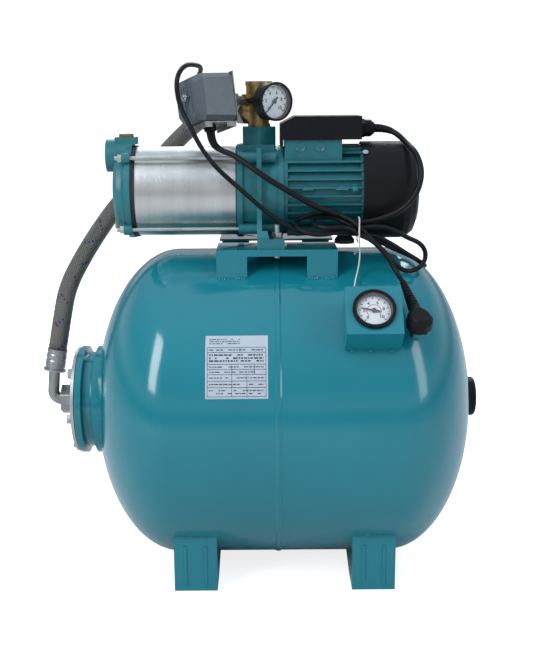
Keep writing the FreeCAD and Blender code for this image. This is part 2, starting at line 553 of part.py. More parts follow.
lower_gland_place = switch_frame.multiply(
    FreeCAD.Placement(Vec(27, 0, -size("switch_height") / 2 - 2), FreeCAD.Rotation(Z_AXIS, Vec(0, 0, -1))))
rear_gland_place = switch_frame.multiply(
    FreeCAD.Placement(Vec(16, -size("switch_width") / 2 - 5, -6), FreeCAD.Rotation(Z_AXIS, Vec(0, -1, 0))))
box_gland_place = FreeCAD.Placement(Vec(size("box_right_x"), 0, 630.2), FreeCAD.Rotation(Z_AXIS, X_AXIS))
cable_glands = group("cable_glands", [
    feature("gland_lower", gland_shape(9.5, 9, size("motor_lead_radius")), lower_gland_place),
    feature("gland_rear", gland_shape(9.5, 11, size("mains_lead_radius")), rear_gland_place),
    feature("gland_box", gland_shape(13, 21, size("motor_lead_radius")), box_gland_place)])

# ---------------------------------------------------------------- suction casing
PUMP = ("pump_axis_z",)
rod_spots = [(math.cos(a), math.sin(a)) for a in around(4, 45)]


def rod_point(x, spot):
    return (x, "rod_circle * %.6f" % spot[0], "pump_axis_z + rod_circle * %.6f" % spot[1])


casing_parts = [
    lathe("casing_turned", [("0", "0"), ("0", "46"), ("2", "52"), ("6", "56.5"), ("13", "58.5"), ("15", "62"),
                            ("18", "62"), ("18", "66.5"), ("26", "66.5"), ("26", "54"), ("8", "50"), ("8", "0")],
          ("casing_left_x", "0", "pump_axis_z")),
    cylinder("casing_suction_boss", 23, 38, ("casing_left_x - 12.4", "0", "pump_axis_z + suction_rise"), X_AXIS),
    box("casing_top_boss", ("25", "30", "40"), ("casing_left_x + 1", "-15", "pump_axis_z + 37")),
    box("casing_boss_nose", ("10", "30", "10"), ("casing_left_x + 21", "-15", "pump_axis_z + 67")),
    cylinder("casing_drain_boss", 10, 10, ("casing_left_x + 1", "0", "pump_axis_z - 47"), X_AXIS),
] + [cylinder("casing_lug_%d" % i, 7.5, 11, rod_point("casing_right_x - 11", spot), X_AXIS)
     for i, spot in enumerate(rod_spots)]
casing_tools = [
    cylinder("casing_suction_bore", "port_bore", 34, ("casing_left_x - 14", "0", "pump_axis_z + suction_rise"), X_AXIS),
    cylinder("casing_priming_bore", 6.6, 60, ("casing_left_x + 16", "0", "pump_axis_z + 30")),
    cylinder("casing_drain_bore", 4.6, 20, ("casing_left_x - 5", "0", "pump_axis_z - 47"), X_AXIS),
    cylinder("casing_chamber", 47, 18, ("casing_left_x + 8", "0", "pump_axis_z"), X_AXIS),
] + [cylinder("casing_rod_hole_%d" % i, 3.3, 30, rod_point("casing_right_x - 20", spot), X_AXIS)
     for i, spot in enumerate(rod_spots)]
suction_casing = cut("suction_casing", fuse("casing_solid", casing_parts), casing_tools)

priming_plug = fuse("priming_plug", [
    hexagon("priming_plug_head", 18, 4.6, ("casing_left_x + 16", "0", "pump_axis_z + 77"), Z_AXIS, 12),
    cylinder("priming_plug_thread", 6.4, 10.5, ("casing_left_x + 16", "0", "pump_axis_z + 67.5"))])
drain_plug = fuse("drain_plug", [
    hexagon("drain_plug_head", 13, 3.9, ("casing_left_x - 4", "0", "pump_axis_z - 47"), X_AXIS, 10),
    cylinder("drain_plug_thread", 4.4, 12, ("casing_left_x - 1", "0", "pump_axis_z - 47"), X_AXIS)])
casing_plugs = group("casing_plugs", [priming_plug, drain_plug])

casing_gaskets = group("casing_gaskets", [
    lathe("gasket_suction", [("0", "56"), ("0", "65.5"), ("6", "65"), ("6", "56")],
          ("casing_right_x", "0", "pump_axis_z")),
    lathe("gasket_discharge", [("0", "56"), ("0", "65"), ("1.5", "65"), ("1.5", "56")],
          ("sleeve_right_x", "0", "pump_axis_z"))])
pump_sleeve = lathe("pump_sleeve", [("0", "sleeve_radius - sleeve_wall"), ("0", "sleeve_radius"),
                                    ("sleeve_right_x - sleeve_left_x", "sleeve_radius"),
                                    ("sleeve_right_x - sleeve_left_x", "sleeve_radius - sleeve_wall")],
                    ("sleeve_left_x", "0", "pump_axis_z"))


def tie_rod(i, spot):
    rod = cylinder("tie_rod_bar_%d" % i, "rod_radius", 212, rod_point("casing_right_x - 21", spot), X_AXIS)
    nut = hexagon("tie_rod_nut_%d" % i, 10, 5.5, rod_point("casing_right_x - 16.7", spot), X_AXIS, 20)
    washer = cylinder("tie_rod_washer_%d" % i, 6, 0.9, rod_point("casing_right_x - 11.9", spot), X_AXIS)
    return fuse("tie_rod_%d" % i, [rod, nut, washer])


tie_rods = group("tie_rods", [tie_rod(i, spot) for i, spot in enumerate(rod_spots)])

# ---------------------------------------------------------------- pump stages, shaft and seal
STAGES = 5
FIRST_STAGE_X = size("sleeve_left_x") + 6


def turned_ring(outline, x):
    """A ring turned about the pump's axis, from points (distance from x, radius)."""
    face = Part.Face(Part.makePolygon([Vec(x + a, 0, r) for a, r in outline + outline[:1]]))
    ring = face.revolve(Vec(0, 0, 0), X_AXIS, 360)
    return ring.translated(Z_AXIS * size("pump_axis_z"))


def diffuser_shape(x):
    wall = size("sleeve_radius") - size("sleeve_wall") - 0.6
    cup = turned_ring([(0, wall - 2), (0, wall), (25.6, wall), (25.6, 12), (23, 12), (23, wall - 2)], x)
    centre = Z_AXIS * size("pump_axis_z")
    vanes = [Part.makeBox(5, 26, 2, Vec(x + 18, 26, -1)).rotated(Vec(0, 0, 0), X_AXIS, math.degrees(a))
             .translated(centre) for a in around(7)]
    return cup.fuse(vanes)


def impeller_shape(x):
    radius, bore = size("impeller_radius"), size("shaft_radius") + 0.05
    back = turned_ring([(11, bore), (11, 12), (12, radius), (13.5, radius), (13.5, 14), (16, 11.5), (16, bore)], x)
    front = turned_ring([(2, 18), (2, 20), (5, radius), (6.5, radius), (4.5, 18)], x)
    vane = Part.makeBox(8, 29, 1.6, Vec(x + 4.6, 19, -0.8))
    tilt = [vane.rotated(Vec(x, 19, 0), X_AXIS, -20).rotated(Vec(0, 0, 0), X_AXIS, math.degrees(a))
            .translated(Z_AXIS * size("pump_axis_z")) for a in around(6)]
    return back.fuse([front] + tilt)


diffusers = group("diffusers", [
    feature("diffuser_%d" % i, diffuser_shape(FIRST_STAGE_X + i * size("stage_pitch"))) for i in range(STAGES)])
impellers = group("impellers", [
    feature("impeller_%d" % i, impeller_shape(FIRST_STAGE_X + i * size("stage_pitch"))) for i in range(STAGES)])

shaft = lathe("shaft", [("0", "0"), ("0", "shaft_radius - 2.5"), ("8", "shaft_radius - 2.5"), ("8", "shaft_radius"),
                        ("353", "shaft_radius"), ("353", "shaft_radius - 2"), ("368", "shaft_radius - 2"),
                        ("368", "0")], ("-207", "0", "pump_axis_z"))
seal_ring = lathe("seal_ring", [("0", "shaft_radius + 0.05"), ("0", "13"), ("4", "13"), ("4", "16"), ("12", "16"),
                                ("12", "shaft_radius + 0.05")], ("bracket_left_x + 5", "0", "pump_axis_z"))
seal_seat = lathe("seal_seat", [("0", "11"), ("0", "17"), ("5", "17"), ("5", "19.5"), ("9", "19.5"), ("9", "11")],
                  ("bracket_left_x + 17.4", "0", "pump_axis_z"))

# ---------------------------------------------------------------- discharge bracket with its feet
FOOT_X = -35
rib_outline = [(-40, 606), (-69, 606), (-71, 530), (-98, 486), (-98, 471), (-60, 471), (-40, 495)]


def bracket_rib(i, side):
    """The upright rib and the foot: a plate in the YZ plane, a gusset and a foot pad with a front lip."""
    rib = polygon_prism([Vec(FOOT_X, -side * y, z) for y, z in rib_outline], X_AXIS * 6.5)
    pad_low, pad_high = (62, 98)
    pad_y = pad_low * side if side > 0 else -pad_high
    pad = Part.makeBox(37.6, pad_high - pad_low, 8, Vec(FOOT_X, pad_y, 471))
    lip_y = 93 * side if side > 0 else -98
    lip = Part.makeBox(37.6, 5, 14, Vec(FOOT_X, lip_y, 471))
    gusset = polygon_prism([Vec(FOOT_X, lip_y, 479), Vec(FOOT_X + 18, lip_y, 479), Vec(FOOT_X + 6.5, lip_y, 530),
                            Vec(FOOT_X, lip_y, 530)], Y_AXIS * 5)
    web = polygon_prism([Vec(0, 60, 470), Vec(0, 99, 470), Vec(0, 99, 486), Vec(0, 72, 530), Vec(0, 60, 530)],
                        X_AXIS * 80).translated(X_AXIS * (FOOT_X - 20))
    if side < 0:
        web = web.mirror(Vec(0, 0, 0), Y_AXIS)
    return feature("bracket_rib_%d" % i, rib.fuse([pad, lip, gusset.common(web)]))


bracket_parts = [
    lathe("bracket_turned", [("0", "53"), ("0", "66.5"), ("8", "66.5"), ("8", "62.5"), ("58", "62.5"), ("58", "64.5"),
                             ("65", "64.5"), ("65", "56"), ("40", "56"), ("40", "27"), ("54", "27"), ("54", "20.05"),
                             ("41", "20.05"), ("41", "13"), ("30", "13"), ("30", "19.6"), ("22.4", "19.6"),
                             ("22.4", "23"), ("28", "53")],
          ("bracket_left_x", "0", "pump_axis_z")),
    box("bracket_shoulder", ("50", "56", "42"), ("bracket_left_x + 3", "-28", "pump_axis_z + 24")),
    hexagon("bracket_outlet", 46.5, "outlet_top_z - pump_axis_z - 45", ("outlet_x", "0", "pump_axis_z + 45"),
            Z_AXIS, 90),
] + [cylinder("bracket_lug_%d" % i, 7.5, 52, rod_point("bracket_left_x + 2", spot), X_AXIS)
     for i, spot in enumerate(rod_spots)] + [bracket_rib(i, side) for i, side in enumerate((-1, 1))]
bracket_tools = [
    cylinder("bracket_outlet_bore", 14.5, 16, ("outlet_x", "0", "outlet_top_z - 15.5")),
    cylinder("bracket_rise", 11, 60, ("bracket_left_x + 12.5", "0", "pump_axis_z + 30")),
    box("bracket_passage", ("20", "22", "12"), ("outlet_x - 20", "-11", "outlet_top_z - 27")),
    cylinder("bracket_shaft_hole", 13, 60, ("bracket_left_x + 20", "0", "pump_axis_z"), X_AXIS),
    cylinder("bracket_motor_side", 56, 25.2, ("bracket_right_x - 25", "0", "pump_axis_z"), X_AXIS),
] + [cylinder("bracket_rod_hole_%d" % i, 3.3, 48, rod_point("bracket_left_x - 1", spot), X_AXIS)
     for i, spot in enumerate(rod_spots)
] + [cylinder("bracket_foot_hole_%d" % i, 5, 30, ("-8", str(y), "saddle_top_z - 10")) for i, y in enumerate((-80, 80))]
bracket_hub = lathe("bracket_hub", [("0", "20.05"), ("0", "27"), ("14", "27"), ("14", "20.05")],
                    ("bracket_left_x + 40", "0", "pump_axis_z"))
discharge_bracket = fuse("discharge_bracket", [
    cut("bracket_cut", fuse("bracket_solid", bracket_parts), bracket_tools), bracket_hub])


def foot_bolt(i, side):
    y = str(side * 80)
    screw = cylinder("foot_screw_%d" % i, 4, 46, ("-8", y, "saddle_top_z - 14"))
    head = hexagon("foot_head_%d" % i, 13, 5.5, ("-8", y, "saddle_top_z - 14 + 5.4"), Z_AXIS, 0)
    washer = cylinder("foot_washer_%d" % i, 8, 1.6, ("-8", y, "saddle_top_z + 8"))
    nuts = [hexagon("foot_nut_%d_%d" % (i, j), 13, 5.6, ("-8", y, "saddle_top_z + 9.6 + 6 * %d" % j), Z_AXIS, 20 * j)
            for j in range(2)]
    return fuse("foot_bolt_%d" % i, [screw, head, washer] + nuts)


foot_bolts = group("foot_bolts", [foot_bolt(i, side) for i, side in enumerate((-1, 1))])

# ---------------------------------------------------------------- motor
frame_length = "frame_right_x - bracket_right_x"
fin_bars = [box("fin_%d" % i, ("frame_right_x - bracket_right_x - 14", "2 * fin_radius + 4", "fin_thick"),
                ("bracket_right_x + 6", "-fin_radius - 2", "pump_axis_z + 8.4 + fin_pitch * (%d) - fin_thick / 2" % i))
            for i in range(-5, 5)]
top_fins = [box("top_fin_%d" % i, ("frame_right_x - bracket_right_x - 14", "fin_thick", "2 * fin_radius + 4"),
                ("bracket_right_x + 6", "fin_pitch * (%d) - fin_thick / 2" % i, "pump_axis_z - fin_radius - 2"))
            for i in range(-2, 3)]
fin_envelope = cylinder("fin_envelope", "fin_radius", frame_length, ("bracket_right_x", "0", "pump_axis_z"), X_AXIS)
fins = common("frame_fins", [fuse("frame_fin_bars", fin_bars + top_fins), fin_envelope])
frame_screw_spots = [(math.cos(a), math.sin(a)) for a in (math.radians(d) for d in (52, 128, 232, 308))]
frame_parts = [
    lathe("frame_turned", [("0", "49.9"), ("0", "62.5"), ("6", "62.5"), ("6", "frame_radius"), ("108", "frame_radius"),
                           ("108", "63.5"), (frame_length, "63.5"), (frame_length, "49.9")],
          ("bracket_right_x", "0", "pump_axis_z")),
    fins,
    box("frame_pad", ("80", "84", "33"), ("bracket_right_x + 2", "-42", "box_floor_z - 33.5")),
    cylinder("frame_boss_rear", 5.5, 122, ("100.5", "-61", "pump_axis_z + 8.4"), Y_AXIS),
    cylinder("frame_boss_mid", 3.6, 128, ("82", "-64", "pump_axis_z + 8.4"), Y_AXIS),
    cylinder("frame_boss_front", 3.6, 128, ("32", "-64", "pump_axis_z + 8.4"), Y_AXIS),
    cylinder("frame_foot_boss", 9, 12, ("91.5", "0", "pump_axis_z - 66")),
] + [cylinder("frame_screw_boss_%d" % i, 4.5, 20,
              ("116.3", "47 * %.6f" % c, "pump_axis_z + 47 * %.6f" % s), Vec(0, c, s))
     for i, (c, s) in enumerate(frame_screw_spots)]
frame_tools = [
    cylinder("frame_bore", 49.9, 200, ("bracket_right_x - 20", "0", "pump_axis_z"), X_AXIS),
    box("frame_wiring", ("66", "68", "20"), ("bracket_right_x + 9", "-34", "box_floor_z - 14")),
] + [cylinder("frame_screw_hole_%d" % i, 2.1, 30,
              ("116.3", "52 * %.6f" % c, "pump_axis_z + 52 * %.6f" % s), Vec(0, c, s))
     for i, (c, s) in enumerate(frame_screw_spots)]
motor_frame = cut("motor_frame", fuse("frame_solid", frame_parts), frame_tools)

stator = lathe("stator", [("0", "34"), ("0", "47"), ("12", "47"), ("12", "49.8"), ("80", "49.8"), ("80", "47"),
                          ("92", "47"), ("92", "34"), ("80", "34"), ("80", "29.6"), ("12", "29.6"), ("12", "34")],
               ("14", "0", "pump_axis_z"))
rotor = lathe("rotor", [("0", "shaft_radius + 0.05"), ("0", "20"), ("6", "20"), ("6", "29.2"), ("76", "29.2"),
                        ("76", "20"), ("82", "20"), ("82", "shaft_radius + 0.05")], ("19", "0", "pump_axis_z"))
bearing_outline = [("0", "shaft_radius + 0.05"), ("0", "bearing_radius"), ("12", "bearing_radius"),
                   ("12", "shaft_radius + 0.05")]
ball_bearings = group("ball_bearings", [
    lathe("bearing_drive", bearing_outline, ("bracket_left_x + 41.5", "0", "pump_axis_z")),
    lathe("bearing_fan", bearing_outline, ("frame_right_x - 9", "0", "pump_axis_z"))])
end_shield = lathe("end_shield", [("0", "20.05"), ("0", "26"), ("5", "26"), ("5", "49.7"), ("10", "49.7"),
                                  ("10", "62"), ("15", "62"), ("15", "27"), ("18", "24"), ("18", "10"), ("13.5", "10"),
                                  ("13.5", "20.05")],
                   ("frame_right_x - 10", "0", "pump_axis_z"))


def fan_shape():
    hub = turned_ring([(0, 6.55), (0, 14), (3, 14), (3, 52), (5, 52), (5, 14), (15, 12), (15, 6.55)], 146.2)
    blades = [Part.makeBox(12, 42, 2, Vec(150.5, 13, -1)).rotated(Vec(0, 0, 0), X_AXIS, math.degrees(a))
              .translated(Z_AXIS * size("pump_axis_z")) for a in around(9)]
    return hub.fuse(blades)


fan = feature("fan", fan_shape())
cover_blank = lathe("fan_cover_turned", [
    ("0", "cover_radius - cover_wall"), ("0", "cover_radius"), ("57", "cover_radius"), ("66", "cover_radius - 2.5"),
    ("74", "cover_radius - 9"), ("79", "cover_radius - 22"), ("cover_right_x - cover_left_x", "22"),
    ("cover_right_x - cover_left_x", "0"), ("cover_right_x - cover_left_x - cover_wall", "0"),
    ("cover_right_x - cover_left_x - cover_wall", "22"), ("77.4", "cover_radius - 23"), ("72.8", "cover_radius - 10.6"),
    ("65", "cover_radius - 4.2"), ("57", "cover_radius - cover_wall")],
    ("cover_left_x", "0", "pump_axis_z"))
cover_slots = []
for ring_number, (slot_radius, slot_count) in enumerate(((14, 6), (24, 10), (34, 14))):
    for slot_number, slot_angle in enumerate(around(slot_count)):
        spoke = Vec(0, math.cos(slot_angle), math.sin(slot_angle))
        corner = spoke * slot_radius + Vec(0, -spoke.z, spoke.y) * -2.2
        cover_slots.append(box("grille_%d_%d" % (ring_number, slot_number), ("20", "7", "4.4"),
                               ("cover_right_x - 12", "%.5f" % corner.y, "pump_axis_z + %.5f" % corner.z),
                               FreeCAD.Rotation(X_AXIS, math.degrees(slot_angle))))
cover_screw_holes = [cylinder("cover_screw_hole_%d" % i, 2.3, 20,
                              ("116.3", "60 * %.6f" % c, "pump_axis_z + 60 * %.6f" % s), Vec(0, c, s))
                     for i, (c, s) in enumerate(frame_screw_spots)]
fan_cover = cut("fan_cover", cover_blank, cover_slots + cover_screw_holes)


def cover_screw(i, c, s):
    along = Vec(0, c, s)
    shank = cylinder("cover_screw_shank_%d" % i, 1.95, 15,
                     ("116.3", "55 * %.6f" % c, "pump_axis_z + 55 * %.6f" % s), along)
    head = cylinder("cover_screw_head_%d" % i, 4, 2.2,
                    ("116.3", "(cover_radius + 0.1) * %.6f" % c, "pump_axis_z + (cover_radius + 0.1) * %.6f" % s), along)
    return fuse("cover_screw_%d" % i, [shank, head])


cover_screws = group("cover_screws", [cover_screw(i, c, s) for i, (c, s) in enumerate(frame_screw_spots)])

terminal_blank = box("terminal_blank", ("box_right_x - box_left_x", "2 * box_half_y", "box_top_z - box_floor_z"),
                     ("box_left_x", "-box_half_y", "box_floor_z"))
terminal_apron = box("terminal_apron", ("4", "2 * box_half_y", "9"), ("box_left_x", "-box_half_y", "box_floor_z - 8"))
terminal_inside = box("terminal_inside", ("80", "2 * box_half_y - 6", "box_top_z - box_floor_z - 2.5"),
                      ("box_left_x + 4", "-box_half_y + 3", "box_floor_z - 0.01"))
terminal_bay = box("terminal_bay", ("25", "2 * box_half_y - 6", "box_top_z - box_floor_z - 5"),
                   ("box_right_x - 27.5", "-box_half_y + 3", "box_floor_z + 2.5"))
terminal_port = cylinder("terminal_port", 10.3, 20, ("box_right_x - 8", "0", "630.2"), X_AXIS)
terminal_slope = feature("terminal_slope", polygon_prism(
    [Vec(-10, -60, 634), Vec(-2, -60, 637.5), Vec(18, -60, 647.8), Vec(26, -60, 652), Vec(-10, -60, 652)],
    Y_AXIS * 120))
terminal_slope_inner = feature("terminal_slope_inner", polygon_prism(
    [Vec(0, -45, 612), Vec(0, -45, 635.8), Vec(21, -45, 646.6), Vec(21, -45, 612)], Y_AXIS * 90))
terminal_hollow = common("terminal_hollow", [terminal_slope_inner, terminal_inside])
terminal_inside_main = box("terminal_inside_main", ("62", "2 * box_half_y - 6", "box_top_z - box_floor_z - 2.5"),
                           ("box_left_x + 22", "-box_half_y + 3", "box_floor_z - 0.01"))
terminal_box = cut("terminal_box", fuse("terminal_solid", [terminal_blank, terminal_apron]),
                   [terminal_hollow, terminal_inside_main, terminal_bay, terminal_port, terminal_slope])
run_capacitor = lathe("run_capacitor", [("0", "0"), ("0", "11"), ("1.5", "12"), ("66", "12"), ("67", "11"),
                                        ("67", "4"), ("73", "4"), ("73", "0")],
                      ("40", "-36", "box_floor_z + 15"), Y_AXIS)
motor_foot = lathe("motor_foot", [("0", "9"), ("0", "14.5"), ("5", "14.5"), ("10.5", "10.5"), ("10.5", "0"),
                                  ("4", "0"), ("4", "9")], ("91.5", "0", "466"), Z_AXIS)


# ---------------------------------------------------------------- hose and its ends
elbow_top = Vec(-341.5, 1.0, 276)
hose_start_way = Vec(0.17, 0.1, 0.98).normalize()


def pipe(points, radius, corner_radii=None):
    """A round bar along straight runs joined by tangent arcs. Each arc is as large as its two runs allow,
    unless its radius is given. Returns the solid, the length of its path and the radii."""
    count = len(points)
    trims, radii = [0.0] * count, [0.0] * count
    for i in range(1, count - 1):
        before, after = (points[i] - points[i - 1]), (points[i + 1] - points[i])
        half_turn = before.getAngle(after) / 2
        shorter = min(before.Length, after.Length)
        radii[i] = 0.45 * shorter / math.tan(half_turn)
        if corner_radii:
            radii[i] = corner_radii[i - 1]
        trims[i] = radii[i] * math.tan(half_turn)
    edges = []
    here = points[0]
    for i in range(1, count - 1):
        back, ahead = (points[i - 1] - points[i]).normalize(), (points[i + 1] - points[i]).normalize()
        enter, leave = points[i] + back * trims[i], points[i] + ahead * trims[i]
        bisector = (back + ahead).normalize()
        middle = points[i] + bisector * (math.hypot(radii[i], trims[i]) - radii[i])
        edges.append(Part.LineSegment(here, enter).toShape())
        edges.append(Part.Arc(enter, middle, leave).toShape())
        here = leave
    edges.append(Part.LineSegment(here, points[-1]).toShape())
    path = Part.Wire(edges)
    ring = Part.Wire(Part.Circle(points[0], points[1] - points[0], radius).toShape())
    solid = path.makePipeShell([ring], True, False)
    return solid, path.Length, radii[1:-1]


def cord(name, points, radius):
    """A cord's plain tube. Its radii are printed, and its volume is compared with section times length."""
    solid, length, radii = pipe([Vec(*point) for point in points], radius)
    error = solid.Volume / (math.pi * radius ** 2 * length) - 1
    print("%s: %.0f mm long, tightest radius %.0f mm (%.1f diameters), volume off by %.3f %%, radii %s"
          % (name, length, min(radii), min(radii) / radius / 2, 100 * error, [round(r) for r in radii]))
    if abs(error) > 0.01:
        raise RuntimeError(name + " has the wrong volume")
    return feature(name, solid)


def hex_ring(flats, length, bore):
    """A hexagonal sleeve along +X with a round bore."""
    points = [Vec(0, flats / 2 / math.cos(math.pi / 6) * math.cos(a),
                  flats / 2 / math.cos(math.pi / 6) * math.sin(a)) for a in around(6)]
    body = polygon_prism(points, X_AXIS * length)
    ball = Part.makeCylinder(flats / 2 / math.cos(math.pi / 6) - 0.6, length, Vec(0, 0, 0), X_AXIS)
    return body.common(ball).cut(Part.makeCylinder(bore, length + 2, Vec(-1, 0, 0), X_AXIS))


def ferrule_shape(length):
    """A crimped ferrule along +X: a flared collar, a barrel with two crimp grooves and a short hose tail."""
    outline = [(0, 9), (0, 16.5), (3, 16.5), (4, 13.6), (6, 13.6), (6.5, 14.8)]
    for groove in (length - 18, length - 9):
        outline += [(groove, 14.8), (groove + 1.5, 14.2), (groove + 4, 14.2), (groove + 5.5, 14.8)]
    outline += [(length, 14.8), (length, 9)]
    face = Part.Face(Part.makePolygon([Vec(a, 0, r) for a, r in outline + outline[:1]]))
    return face.revolve(Vec(0, 0, 0), X_AXIS, 360)


elbow_path = [Vec(-325, 0, 232), Vec(-345.5, 0, 232), elbow_top]
elbow_solid, elbow_length, _ = pipe(elbow_path, size("elbow_radius"), [12.5])
elbow_bore, _, _ = pipe(elbow_path, size("elbow_radius") - 1.6, [12.5])
elbow_collar = Part.makeCylinder(15.5, 2, Vec(-328.6, 0, 232), X_AXIS)
elbow_hole = Part.makeCylinder(size("elbow_radius") - 1.6, 4, Vec(-329, 0, 232), X_AXIS)
hose_elbow = feature("hose_elbow", elbow_solid.fuse(elbow_collar).cut([elbow_bore, elbow_hole]))

lower_nut = hex_ring(size("union_flats"), 20, size("nipple_radius") + 0.2)
lower_nut_wall = hex_ring(size("union_flats"), 2.6, size("elbow_radius") + 0.5)
lower_nut = lower_nut.translated(X_AXIS * 2.6).fuse(lower_nut_wall)
lower_nut_place = FreeCAD.Placement(Vec(-331.3, 0, size("tank_axis_z")), FreeCAD.Rotation(X_AXIS, 30))
hose_port = Vec(size("outlet_x"), 0, size("hose_port_z"))
upper_nut = hex_ring(36, 18, 12.8)
upper_nut_place = FreeCAD.Placement(hose_port + hose_way * 24.5, FreeCAD.Rotation(X_AXIS, hose_way))
hose_nuts = group("hose_nuts", [feature("hose_nut_lower", lower_nut, lower_nut_place),
                                feature("hose_nut_upper", upper_nut, upper_nut_place)])
hose_end = hose_port + hose_way * 70.2
hose_ferrules = group("hose_ferrules", [
    feature("ferrule_lower", ferrule_shape(33),
            FreeCAD.Placement(elbow_top + hose_start_way * 0.3, FreeCAD.Rotation(X_AXIS, hose_start_way))),
    feature("ferrule_upper", ferrule_shape(27),
            FreeCAD.Placement(hose_port + hose_way * 42.8, FreeCAD.Rotation(X_AXIS, hose_way)))])
hose_start = elbow_top + hose_start_way * 33.5
hose_route = [tuple(hose_start), (-327.4, 9.3, 357.3), (-321.3, 30.8, 398.8), (-300.4, 51.9, 439.9),
              (-277.7, 76.5, 477.1), (-253.3, 103.4, 511.8), (-228.8, 137.7, 538.9), (-196.2, 155.3, 572.4),
              (-162.2, 153.6, 608.7), (-127.8, 133.9, 638.1), (-96.5, 100.1, 655.0), tuple(hose_end)]
braided_hose = cord("braided_hose", hose_route, size("hose_radius"))

# ---------------------------------------------------------------- motor lead and mains lead
lower_gland_tip = lower_gland_place.multVec(Vec(0, 0, 9.2))
rear_gland_tip = rear_gland_place.multVec(Vec(0, 0, 11.2))
motor_route = [tuple(lower_gland_tip), (-96.5, -56.0, 615.3), (-87.7, -60.1, 604.7), (-62.5, -69.6, 595.9),
               (-25.8, -86.6, 569.3), (11.7, -85.0, 546.9), (47.5, -82.5, 525.9), (80.3, -80.0, 515.2),
               (104.6, -80.6, 503.0), (138.0, -82.4, 510.5), (164.2, -86.5, 522.7), (184.3, -86.7, 546.0),
               (191.3, -76.1, 574.5), (184.1, -59.5, 599.2), (176.4, -26.8, 608.7), (163.1, -5.7, 623.8),
               (145.0, 0, 630.2), (132.3, 0, 630.2)]
motor_lead = cord("motor_lead", motor_route, size("motor_lead_radius"))
mains_route = [tuple(rear_gland_tip), (-133.6, 21.4, 648.2), (-134.0, 43.5, 665.8), (-119.7, 44.4, 691.9),
               (-111.6, 20.7, 707.0), (-111.4, -4.7, 719.3), (-121.6, -31.8, 715.2), (-132.5, -62.0, 721.5),
               (-139.8, -81.6, 697.1), (-137.2, -73.8, 661.5), (-124.9, -94.0, 640.8), (-110.3, -96.5, 610.4),
               (-89.8, -94.7, 581.8), (-54.9, -90.1, 550.8), (-19.1, -88.4, 518.0), (18.7, -96.7, 497.8),
               (51.8, -99.9, 491.2), (84.8, -94.9, 498.2)]
mains_lead = cord("mains_lead", mains_route, size("mains_lead_radius"))
tail_route = [(94, -103.5, 496), (119, -106, 487), (140, -111, 466), (154.6, -118.6, 444.4), (159.8, -139.4, 431.2)]
mains_lead_tail = cord("mains_lead_tail", tail_route, size("mains_lead_radius"))

# the folded hank: sections along its middle line, each (centre, half width across, half thickness front to back)
hank_sections = [((17, -88, 507), 4, 8), ((30, -87, 507), 7.5, 19), ((52, -86, 505.5), 8, 19),
                 ((78, -82, 497.5), 7, 8), ((100, -88, 492), 6.5, 11), ((124, -90, 486), 9, 11),
                 ((148, -93, 474), 14, 11), ((168, -92, 462), 14, 10), ((183, -84, 449), 9, 9), ((192, -77, 443), 4, 4)]


def hank_shape():
    """The outer shape of the tied hank, as one closed solid through oval sections."""
    centres = [Vec(*centre) for centre, _, _ in hank_sections]
    rings = []
    for i, (_, half_width, half_depth) in enumerate(hank_sections):
        along = (centres[min(i + 1, len(centres) - 1)] - centres[max(i - 1, 0)]).normalize()
        across = along.cross(Y_AXIS).normalize()
        depth = across.cross(along).normalize()
        ring = [centres[i] + across * half_width * math.cos(a) + depth * half_depth * math.sin(a)
                for a in around(12)]
        rings.append(Part.makePolygon(ring + ring[:1]))
    return Part.makeLoft(rings, True, True)


mains_lead_hank = feature("mains_lead_hank", hank_shape())

# ---------------------------------------------------------------- plug and wire tie
plug_centre = Vec(174, -197.6, 391.6)
plug_way = (plug_centre - Vec(*tail_route[-1])).normalize()
tank_normal = Vec(0, plug_centre.y, plug_centre.z - size("tank_axis_z")).normalize()
pin_way = (tank_normal.cross(plug_way).cross(plug_way)).normalize()
if pin_way.dot(tank_normal) > 0:
    pin_way = pin_way * -1
plug_side = pin_way.cross(plug_way).normalize()


def plug_shape():
    """An angled plug: round face, drawn-in back, a tapered neck for the lead and two round pins."""
    neck_start = Vec(*tail_route[-1])
    neck_length = (plug_centre - neck_start).Length
    neck = Part.makeCone(5, 8.5, neck_length - 10, neck_start, plug_way)
    body = Part.makeCylinder(18.5, 14, plug_centre - pin_way * 4, pin_way)
    back = Part.makeCone(12.5, 18.5, 8, plug_centre - pin_way * 12, pin_way)
    pins = [Part.makeCylinder(2.4, 19, plug_centre + pin_way * 9.5 + plug_side * offset, pin_way)
            for offset in (-9.5, 9.5)]
    return body.fuse([back, neck] + pins)


plug = feature("plug", plug_shape())
tie_route = [(103, -88, 479), (103, -73, 481), (104, -66, 490), (105, -66, 502), (105, -73, 512),
             (105, -87, 513), (104, -100, 508), (103, -109, 500), (103, -111, 489), (104, -106, 478),
             (105, -102, 466), (104, -103, 452), (101, -109, 440), (97, -121, 430), (94, -134, 419)]
wire_tie = cord("wire_tie", tie_route, size("tie_radius"))

# ---------------------------------------------------------------- check and write every sub-part
NODES = [
    tank_shell_left, tank_shell_right, bladder, tank_neck, counter_flange, flange_bolts, air_valve, air_valve_cap,
    tank_feet, pump_bracket_front, pump_bracket_rear, gauge_box, gauge_cases, gauge_dials, gauge_lenses,
    line_gauge["needle"], tank_gauge["needle"], brass_fitting, switch_cover, switch_base, switch_diaphragm,
    switch_spring, switch_lever, switch_contacts, switch_cap_nut, cable_glands, suction_casing, casing_plugs,
    casing_gaskets, pump_sleeve, tie_rods, diffusers, impellers, shaft, seal_ring, seal_seat, discharge_bracket,
    foot_bolts, motor_frame, stator, rotor, ball_bearings, end_shield, fan, fan_cover, cover_screws, terminal_box,
    run_capacitor, motor_foot, hose_elbow, hose_nuts, hose_ferrules, braided_hose, motor_lead, mains_lead,
    mains_lead_tail, mains_lead_hank, plug, wire_tie,
]

